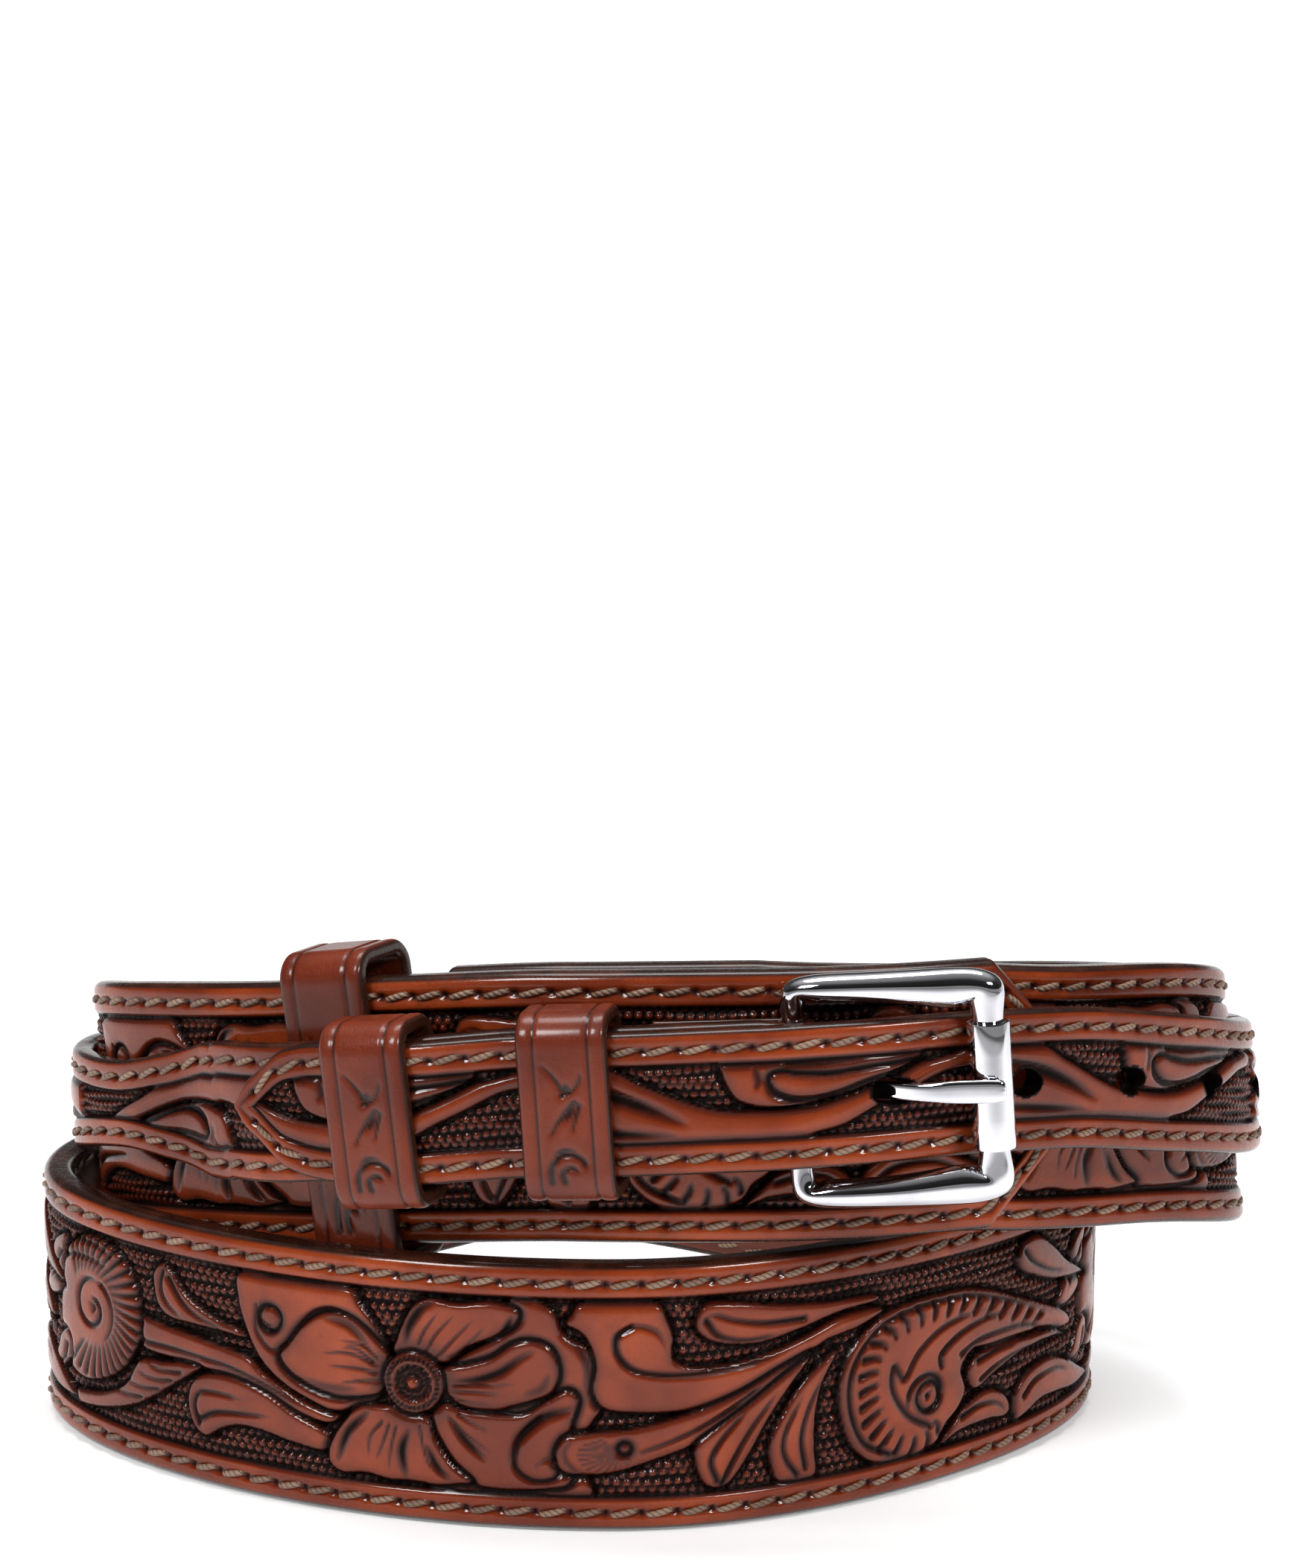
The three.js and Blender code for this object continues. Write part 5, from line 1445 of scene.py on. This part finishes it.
def keeper_line(x, width, low, high, up, half_up):
    """A keeper's own middle line, once round the straps, and how it follows their curve."""
    q0 = quarter_at(x)
    step = width / np.linalg.norm(body_place(q0)[0][0] - body_place(q0 + 0.01)[0][0]) * 0.01
    q = np.linspace(q0, q0 + step, 9)
    p, t, u, n = body_place(q)
    flat_n = unit(np.stack([-t[:, 1], t[:, 0], 0 * t[:, 0]], -1))
    mids = p + n * ((low(q) + high(q)) / 2)[:, None] + u * np.broadcast_to(up(q), q.shape)[:, None]
    half_out = float(((high(q) - low(q)) / 2)[4])
    mid, out = mids[4], flat_n[4]
    ahead = unit(mids[-1] - mids[0])
    out = unit(out - ahead * np.dot(out, ahead))
    rise = np.cross(ahead, out)
    if rise[2] < 0:
        rise = -rise
    w, h, r = (size + KEEPER_THICK / 2 for size in (half_up, half_out, KEEPER_CORNER))
    points, normals = [], []
    corners = [(1, -1, 270), (1, 1, 0), (-1, 1, 90), (-1, -1, 180)]
    for a, b, first in corners:
        for d in np.linspace(first, first + 90, 13):
            c, s = math.cos(math.radians(d)), math.sin(math.radians(d))
            points.append(mid + rise * (a * (w - r) + r * c) + out * (b * (h - r) + r * s))
            normals.append(rise * c + out * s)
    start = (np.array(points[-1]) + np.array(points[0])) / 2
    back = unit(np.array(normals[-1]) + np.array(normals[0]))
    points = np.array([start] + points + [start])
    normals = np.array([back] + normals + [back])
    run = np.r_[0, np.cumsum(np.linalg.norm(np.diff(points, axis=0), axis=1))]
    s = np.arange(0, run[-1], 0.3)
    dense = np.stack([np.interp(s, run, points[:, k]) for k in range(3)], -1)
    n_dense = unit(np.stack([np.interp(s, run, normals[:, k]) for k in range(3)], -1))
    dense, n_dense = np.vstack([dense, dense[:1]]), np.vstack([n_dense, n_dense[:1]])
    t_dense = unit(np.roll(dense, -1, 0) - np.roll(dense, 1, 0))
    t_dense[0] = t_dense[-1] = unit(dense[1] - dense[-2])
    u_dense = unit(np.cross(t_dense, n_dense))
    offsets = (mids - mid) @ ahead
    bend = (mids - mid) - np.outer(offsets, ahead)
    return Line(dense, t_dense, u_dense, n_dense, KEEPER_THICK), ahead, mid, offsets, bend


class BELT_OT_keepers(bpy.types.Operator):
    """Makes the two narrow keepers round the narrow straps and the wide one round the coil"""
    bl_idname = "belt.keepers"
    bl_label = "Keepers"

    def execute(self, context):
        sizes = context.scene.keeper_sizes
        drawing = keeper_drawing()
        leather = keeper_leather()
        inset = mm(sizes.groove_inset)

        def narrow_low(q):
            return out_at(q) - BILLET_THICK / 2 - GAP

        def narrow_high(q):
            return top_at(q) + BILLET_THICK / 2 + GAP

        def wide_low(q):
            return np.full(np.shape(q), -BODY_THICK / 2 - LAYER_STEP - GAP)

        def wide_high(q):
            return np.full(np.shape(q), BODY_THICK / 2 + GAP)

        narrow = (NARROW_KEEPER_WIDTH, narrow_low, narrow_high, lambda q: lift(q) * BILLET_WIDTH,
                  BILLET_WIDTH / 2 + NARROW_SLACK)
        wide = (WIDE_KEEPER_WIDTH, wide_low, wide_high, lambda q: 0.3, BODY_WIDTH / 2 + WIDE_SLACK)
        for name, node, x, shape in (
            ("near_keeper", "keeper_near", NEAR_KEEPER_X, narrow),
            ("far_keeper", "keeper_far", FAR_KEEPER_X, narrow),
            ("wide_keeper", "keeper_wide", WIDE_KEEPER_X, wide),
        ):
            width = shape[0]
            line, ahead, mid, offsets, bend = keeper_line(x, *shape)

            def face(s, v, d, line=line):
                h, w = drawing.read((s / line.length) * KEEPER_REPEAT, v)
                h = h + groove(d, inset, 0.3, 0.26)
                return h, np.maximum(w, 0.85 * np.exp(-((d - inset) / 0.26) ** 2))

            s = np.linspace(0, line.length, int(line.length / mm(sizes.step)))
            columns = int((width - 1.6) / mm(sizes.step))
            points, _, finish = strap_grid(line, s, lambda a, width=width: np.full(len(a), width / 2), face,
                                           plain_billet_back, columns, 8, KEEPER_EDGE, [])
            along_belt = (points - SHIFT - mid) @ ahead
            order = np.argsort(offsets)
            for k in range(3):
                points[..., k] += np.interp(along_belt, offsets[order], bend[order][:, k])
            done(grid_mesh(name, points, finish), "belt", leather, node, slot="keeper_leather")
        return {"FINISHED"}


def rings_piece(name, rings, closed, smoothing):
    """A tube of quads through rings, smoothed by subdivision."""
    rings = np.array(rings)
    m, n = rings.shape[:2]
    faces = [[i * n + j, i * n + (j + 1) % n, (i + 1) % m * n + (j + 1) % n, (i + 1) % m * n + j]
             for i in range(m if closed else m - 1) for j in range(n)]
    if not closed:
        faces += [list(range(n))[::-1], [(m - 1) * n + j for j in range(n)]]
    mesh = bpy.data.meshes.new(name)
    mesh.from_pydata([list(v) for v in ((rings.reshape(-1, 3) + SHIFT) / 1000)], [], faces)
    made = add_piece(name, mesh)
    fix_normals(made)
    bpy.ops.object.shade_smooth()
    if smoothing:
        made.modifiers.new("smooth", "SUBSURF").levels = smoothing
        made.modifiers["smooth"].render_levels = smoothing
        bpy.ops.object.modifier_apply(modifier="smooth")
    return made


# Half of the buckle's loop, from the heel bar's middle to the front bar's: share of the reach, share
# of the half height, half sizes across and deep, and the direction of travel in degrees.
BUCKLE_HALF = [
    (0, 0.35, "heel", "heel", 90), (0, 0.66, "heel", "heel", 90), (0.0, 0.824, 1.7, 1.8, 78),
    (0.035, 0.874, 1.85, 1.95, 45), (0.11, 0.884, "arm", "deep", 4), (0.32, 0.884, "arm", "deep", 2),
    (0.55, 0.874, 2.035, "deep", -1), (0.76, 0.849, 2.442, "deep", -4), (0.9, 0.839, 2.726, "deep", -18),
    (0.99, 0.829, 2.494, "deep", -48), (1.0, 0.769, 2.6, "deep", -80), (1, 0.578, "bar", "bar", -90),
    (1, 0.25, "bar", "bar", -90),
]


# The prong's middle line between the curl at the heel bar and the roller, both as shares of the reach.
PRONG_DIP = [(0.135, 0.03), (0.25, -0.008), (0.34, -0.024), (0.42, 0.008), (0.52, 0.064), (0.6, 0.103),
             (0.69, 0.132)]


def loop_rings(sides):
    """Rings of points all the way round the buckle's frame, heel bar and front bar."""
    named = {"heel": HEEL_RADIUS, "arm": ARM_HEIGHT / 2, "deep": ARM_DEPTH / 2, "bar": BAR_RADIUS / FULLER}
    bow = curve([(0, 0), (0.2, 0.7), (0.6, 0.8), (1, 0)])
    half = [(a * REACH, b * BUCKLE_HEIGHT / 2, named.get(r1, r1), named.get(r2, r2), turn, float(bow(a)))
            for a, b, r1, r2, turn in BUCKLE_HALF]
    rings = []
    for a, b, r1, r2, turn, c in half + [(a, -b, r1, r2, 180 - turn, c)
                                         for a, b, r1, r2, turn, c in reversed(half)]:
        way = AXIS_A * math.cos(math.radians(turn)) + AXIS_B * math.sin(math.radians(turn))
        side = unit(np.cross(AXIS_C, way))
        mid, across, out = in_buckle(a, b, c), side * FULLER * r1, AXIS_C * FULLER * r2
        rings.append([mid + across * math.cos(g) + out * math.sin(g)
                      for g in np.radians((np.arange(sides) + 0.5) * 360 / sides)])
    return rings


def roller_rings():
    """The roller's wall and chamfers, turned round the front bar."""
    e, c = ROLLER_LENGTH / 2, ROLLER_CHAMFER
    inner, outer = BAR_RADIUS + ROLLER_PLAY, ROLLER_RADIUS
    end = [(outer, e * 0.5), (outer, e - c), (outer - c * 0.2, e - c * 0.25), (outer - c * 0.8, e),
           ((inner + outer) / 2, e), (inner, e - 0.1)]
    profile = [(r, -b) for r, b in reversed(end)] + [(outer, 0)] + end + [(inner, 0)]
    around = np.radians(np.arange(0, 360, 5))
    return [[in_buckle(REACH + r * math.cos(k), b, r * math.sin(k)) for k in around] for r, b in profile]


def prong_rings():
    """The prong from its curl round the heel bar, down through the hole and up to its tip."""
    curl = HEEL_RADIUS + HEEL_PLAY + PRONG_THICK / 2
    path = [(curl * math.cos(math.radians(d)), curl * math.sin(math.radians(d)))
            for d in range(-40, -301, -20)]
    path += [(a * REACH, k * REACH) for a, k in PRONG_DIP]
    rest = ROLLER_RADIUS + GAP + PRONG_THICK / 2
    path += [(0.8 * REACH, rest * 0.93), (0.93 * REACH, rest + 0.05), (1.03 * REACH, rest + 0.1),
             (1.08 * REACH, rest - 0.1)]
    p = np.array([in_buckle(a, 0, k) for a, k in path])
    n = np.cross(AXIS_B, unit(along(p)))
    h = PRONG_THICK / 2
    rings = []
    for i in range(len(p)):
        left = len(p) - 1 - i
        w = (PRONG_TIP_WIDTH * (0.8 if left == 0 else 1) if left <= 3 else PRONG_WIDTH) / 2
        top = [(w * 0.92, h * 0.8), (w * 0.5, h * 1.08)]
        low = [(-w * 0.92, -h * 0.8), (-w * 0.5, -h)]
        section = [(w * 1.02, 0), *top, (0, h * 1.12), *((-a, b) for a, b in reversed(top)),
                   (-w * 1.02, 0), *low, (0, -h), *((-a, b) for a, b in reversed(low))]
        rings.append([p[i] + AXIS_B * a + n[i] * b for a, b in section])
    return rings


class BELT_OT_buckle(bpy.types.Operator):
    """Makes the polished buckle: frame, roller and prong"""
    bl_idname = "belt.buckle"
    bl_label = "Roller buckle"

    def execute(self, context):
        sizes = context.scene.buckle_sizes
        metal = polished_metal()
        done(rings_piece("buckle_loop", loop_rings(sizes.sides), True, sizes.smoothing), "belt", metal,
             "buckle_frame", slot="buckle_metal")
        roller = rings_piece("roller", roller_rings(), True, 0)
        bpy.ops.object.shade_smooth_by_angle(angle=math.radians(35))
        done(roller, "roller", metal, "buckle_roller", slot="buckle_metal")
        done(rings_piece("prong", prong_rings(), False, sizes.smoothing), "belt", metal, "buckle_prong",
             slot="buckle_metal")
        return {"FINISHED"}


def studio_world():
    """Walls that are white below and dark above, and dimmer behind the camera."""
    world = bpy.data.worlds.new("studio")
    world.use_nodes = True
    tree = world.node_tree
    back = tree.nodes["Background"]
    back.inputs[1].default_value = STUDIO_LIGHT
    way = tree.nodes.new("ShaderNodeTexCoord")
    parts = tree.nodes.new("ShaderNodeSeparateXYZ")
    tree.links.new(way.outputs["Generated"], parts.inputs[0])
    ramp = tree.nodes.new("ShaderNodeValToRGB")
    tree.links.new(parts.outputs[2], ramp.inputs[0])
    ramp.color_ramp.interpolation = "EASE"
    for place, grey in WALL_GREYS:
        ramp.color_ramp.elements.new(place).color = (grey, grey, grey, 1)
    ramp.color_ramp.elements[0].color = (1, 1, 1, 1)
    depth = tree.nodes.new("ShaderNodeMapRange")
    tree.links.new(parts.outputs[1], depth.inputs["Value"])
    for key, value in WALL_DIMMING:
        depth.inputs[key].default_value = value
    dim = tree.nodes.new("ShaderNodeVectorMath")
    dim.operation = "SCALE"
    tree.links.new(ramp.outputs[0], dim.inputs[0])
    tree.links.new(depth.outputs[0], dim.inputs["Scale"])
    tree.links.new(dim.outputs[0], back.inputs[0])
    return world


class BELT_OT_stage(bpy.types.Operator):
    """Sets the pale floor, the soft studio lights and the camera at the photograph's angle"""
    bl_idname = "belt.stage"
    bl_label = "Stage"

    def execute(self, context):
        bpy.ops.mesh.primitive_plane_add(size=FLOOR_SIZE, location=(0, 0, -FLOOR_DROP))
        floor = context.object
        floor.name = "floor"
        floor.data.materials.append(floor_paper())
        context.scene.world = studio_world()
        for name, place, power, wide, high in LAMPS:
            data = bpy.data.lights.new(name, "AREA")
            data.shape, data.size, data.size_y, data.energy = "RECTANGLE", wide, high, power
            lamp = bpy.data.objects.new(name, data)
            lamp.location = place
            lamp.rotation_euler = (Vector(LAMPS_FACE) - Vector(place)).to_track_quat("-Z", "Y").to_euler()
            context.collection.objects.link(lamp)
        data = bpy.data.cameras.new("camera")
        camera = bpy.data.objects.new("camera", data)
        context.collection.objects.link(camera)
        data.sensor_width = SENSOR
        data.lens = FOCAL_PIXELS * SENSOR / FRAME_PIXELS
        data.clip_start = 0.01
        camera.location = CAMERA_PLACE
        camera.rotation_euler = (math.radians(90 - CAMERA_DOWN), 0, 0)
        context.scene.camera = camera
        context.scene.view_settings.view_transform = "Standard"
        return {"FINISHED"}


OPERATORS = (BELT_OT_wide_strap, BELT_OT_holed_billet, BELT_OT_buckle_billet, BELT_OT_stitching,
             BELT_OT_keepers, BELT_OT_buckle, BELT_OT_stage)
SIZES = (("belt_sizes", BeltSizes), ("seam_sizes", SeamSizes), ("keeper_sizes", KeeperSizes),
         ("buckle_sizes", BuckleSizes))


class BELT_PT_panel(bpy.types.Panel):
    """Lists the belt's pieces in the order in which they are made"""
    bl_idname = "BELT_PT_panel"
    bl_label = "Western tooled belt"
    bl_space_type = "VIEW_3D"
    bl_region_type = "UI"
    bl_category = "Belt"

    def draw(self, context):
        for kind in OPERATORS:
            self.layout.operator(kind.bl_idname)


def register():
    for key, kind in SIZES:
        bpy.utils.register_class(kind)
        setattr(bpy.types.Scene, key, bpy.props.PointerProperty(type=kind))
    for kind in (*OPERATORS, BELT_PT_panel):
        bpy.utils.register_class(kind)


def unregister():
    for kind in (BELT_PT_panel, *reversed(OPERATORS)):
        bpy.utils.unregister_class(kind)
    for key, kind in SIZES:
        delattr(bpy.types.Scene, key)
        bpy.utils.unregister_class(kind)


def main():
    register()
    bpy.ops.belt.wide_strap()
    bpy.ops.belt.holed_billet()
    bpy.ops.belt.buckle_billet()
    bpy.ops.belt.stitching()
    bpy.ops.belt.keepers()
    bpy.ops.belt.buckle()
    bpy.ops.belt.stage()


if __name__ == "__main__":
    main()
